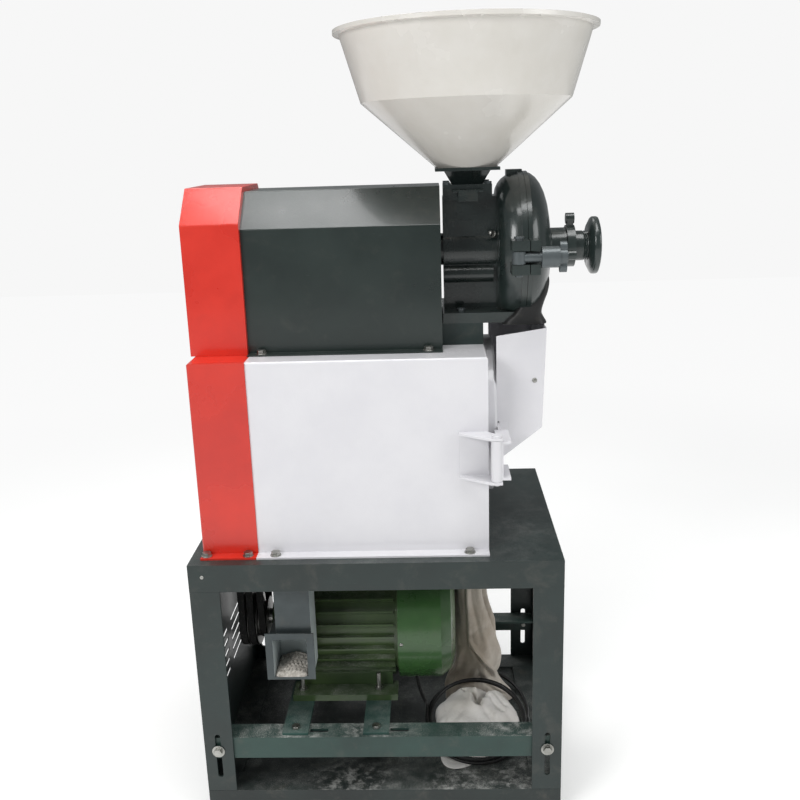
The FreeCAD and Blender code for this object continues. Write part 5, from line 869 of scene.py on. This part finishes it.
# The dark neck below the mill's cover: it comes out of the casting, narrows, and flares over the chute.
neck = {
    "rings": [  # x, half width in x, half width in y, z
        (0.273, 0.015, 0.060, 0.940), (0.275, 0.021, 0.080, 0.915), (0.272, 0.022, 0.088, 0.895),
        (0.266, 0.021, 0.0905, 0.876), (0.259, 0.0245, 0.0905, 0.860), (0.254, 0.034, 0.0905, 0.848),
        (0.254, 0.038, 0.091, 0.8415)],
    "wall": 0.0025, "around": 96, "along": 60,
}


def makeNeck(spec):
    # rounded rectangles that follow the rings downwards, then back up inside by the wall's thickness
    rows = smoothRows(spec["rings"], spec["along"])
    angle = np.linspace(0, tau, spec["around"], endpoint=False)[None]
    square = roundedSquare(angle, 7)
    skins = []
    for wall, order in ((0, 1), (spec["wall"], -1)):
        x = rows[:, 0:1] + (rows[:, 1:2] - wall) * square * np.cos(angle)
        y = (rows[:, 2:3] - wall) * square * np.sin(angle)
        skins.append(np.stack([x, y, rows[:, 3:4] + 0 * angle], -1)[::order])
    piece = gridPiece("dischargeNeck", np.concatenate(skins), "neckPaint", "machine",
                      wrapV=True)
    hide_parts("discharge_skirt")


makeNeck(neck)

# The handwheel: a thick turned disc with broad bevels and a shallow dish in its face.
wheel = {
    "place": (0.366, 0, 0.958),
    "profile": [(0, 0), (0, 0.0355), (0.0015, 0.0385), (0.0055, 0.0462), (0.0075, 0.0478), (0.0100, 0.0480),
                (0.0145, 0.0480), (0.0165, 0.0470), (0.0188, 0.0400), (0.0190, 0.0375), (0.0178, 0.0355),
                (0.0165, 0.0340), (0.0165, 0.0140), (0.0178, 0.0115), (0.0190, 0.0105), (0.0190, 0)],
}
disc = turnedPiece("handwheelDisc", wheel["profile"], wheel["place"], (1, 0, 0), "castPaint", "handwheel",
                   96)
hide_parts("handwheel")

# The grease nipple on the mill's body, above the spindle.
nipple = {
    "place": (0.207, -0.0405, 0.984), "facing": (-0.62, -0.7, 0.35),
    "profile": [(0.0, 0.0), (0.0, 0.0055), (0.004, 0.0055), (0.0045, 0.003), (0.009, 0.003), (0.010, 0.0042),
                (0.0125, 0.0036), (0.0138, 0.0018), (0.0138, 0.0)],
}
facing = np.array(nipple["facing"]) / np.linalg.norm(nipple["facing"])
turnedPiece("greaseNipple", nipple["profile"], nipple["place"], facing, "zincPlate", "machine", 24)

# The hem of the chute's front beside the hinge strap, as corners across and up in its plane.
hem = {"corners": [(0.2098, 0.6225), (0.216, 0.6202), (0.2258, 0.628), (0.2258, 0.6835), (0.2098, 0.6835)],
       "faces": (-0.1098, -0.1082)}
hemSheet = np.array([[(x, y, z) for x, z in hem["corners"]] for y in hem["faces"]])
gridPiece("chuteHem", hemSheet, "whitePaint", "sieve_door", capStart=True, capEnd=True)
print("small pieces made")

# A pale floor that fades into the bright room as it goes away from the machine.
floor = {
    "half": 6, "fade": (0.7, 3.0), "near": ((0.78, 0.78, 0.77), (0.81, 0.81, 0.80)), "far": (0.02, 0.02, 0.02),
    "glow": ((0.3, 0.3, 0.3), (0.92, 0.92, 0.92)),
}


def layFloor(spec):
    half = spec["half"]
    mesh = bpy.data.meshes.new("paleFloor")
    mesh.from_pydata([(-half, -half, 0), (half, -half, 0), (half, half, 0), (-half, half, 0)], [], [(0, 1, 2, 3)])
    net = Net("paleFloor")
    tone = net.mix(net.noise(net.place(), 2, 2).ramp(0.2, 0.8), *spec["near"])
    away = net.node("ShaderNodeVectorMath", {"operation": "LENGTH"}, {0: net.place()}, out="Value").ramp(*spec["fade"])
    mesh.materials.append(net.surface({"Base Color": net.mix(away, tone, spec["far"]), "Roughness": 0.8,
                                       "Emission Strength": 1.0, "Emission Color": net.mix(away, *spec["glow"])}))
    piece = bpy.data.objects.new("paleFloor", mesh)
    bpy.context.scene.collection.objects.link(piece)


layFloor(floor)
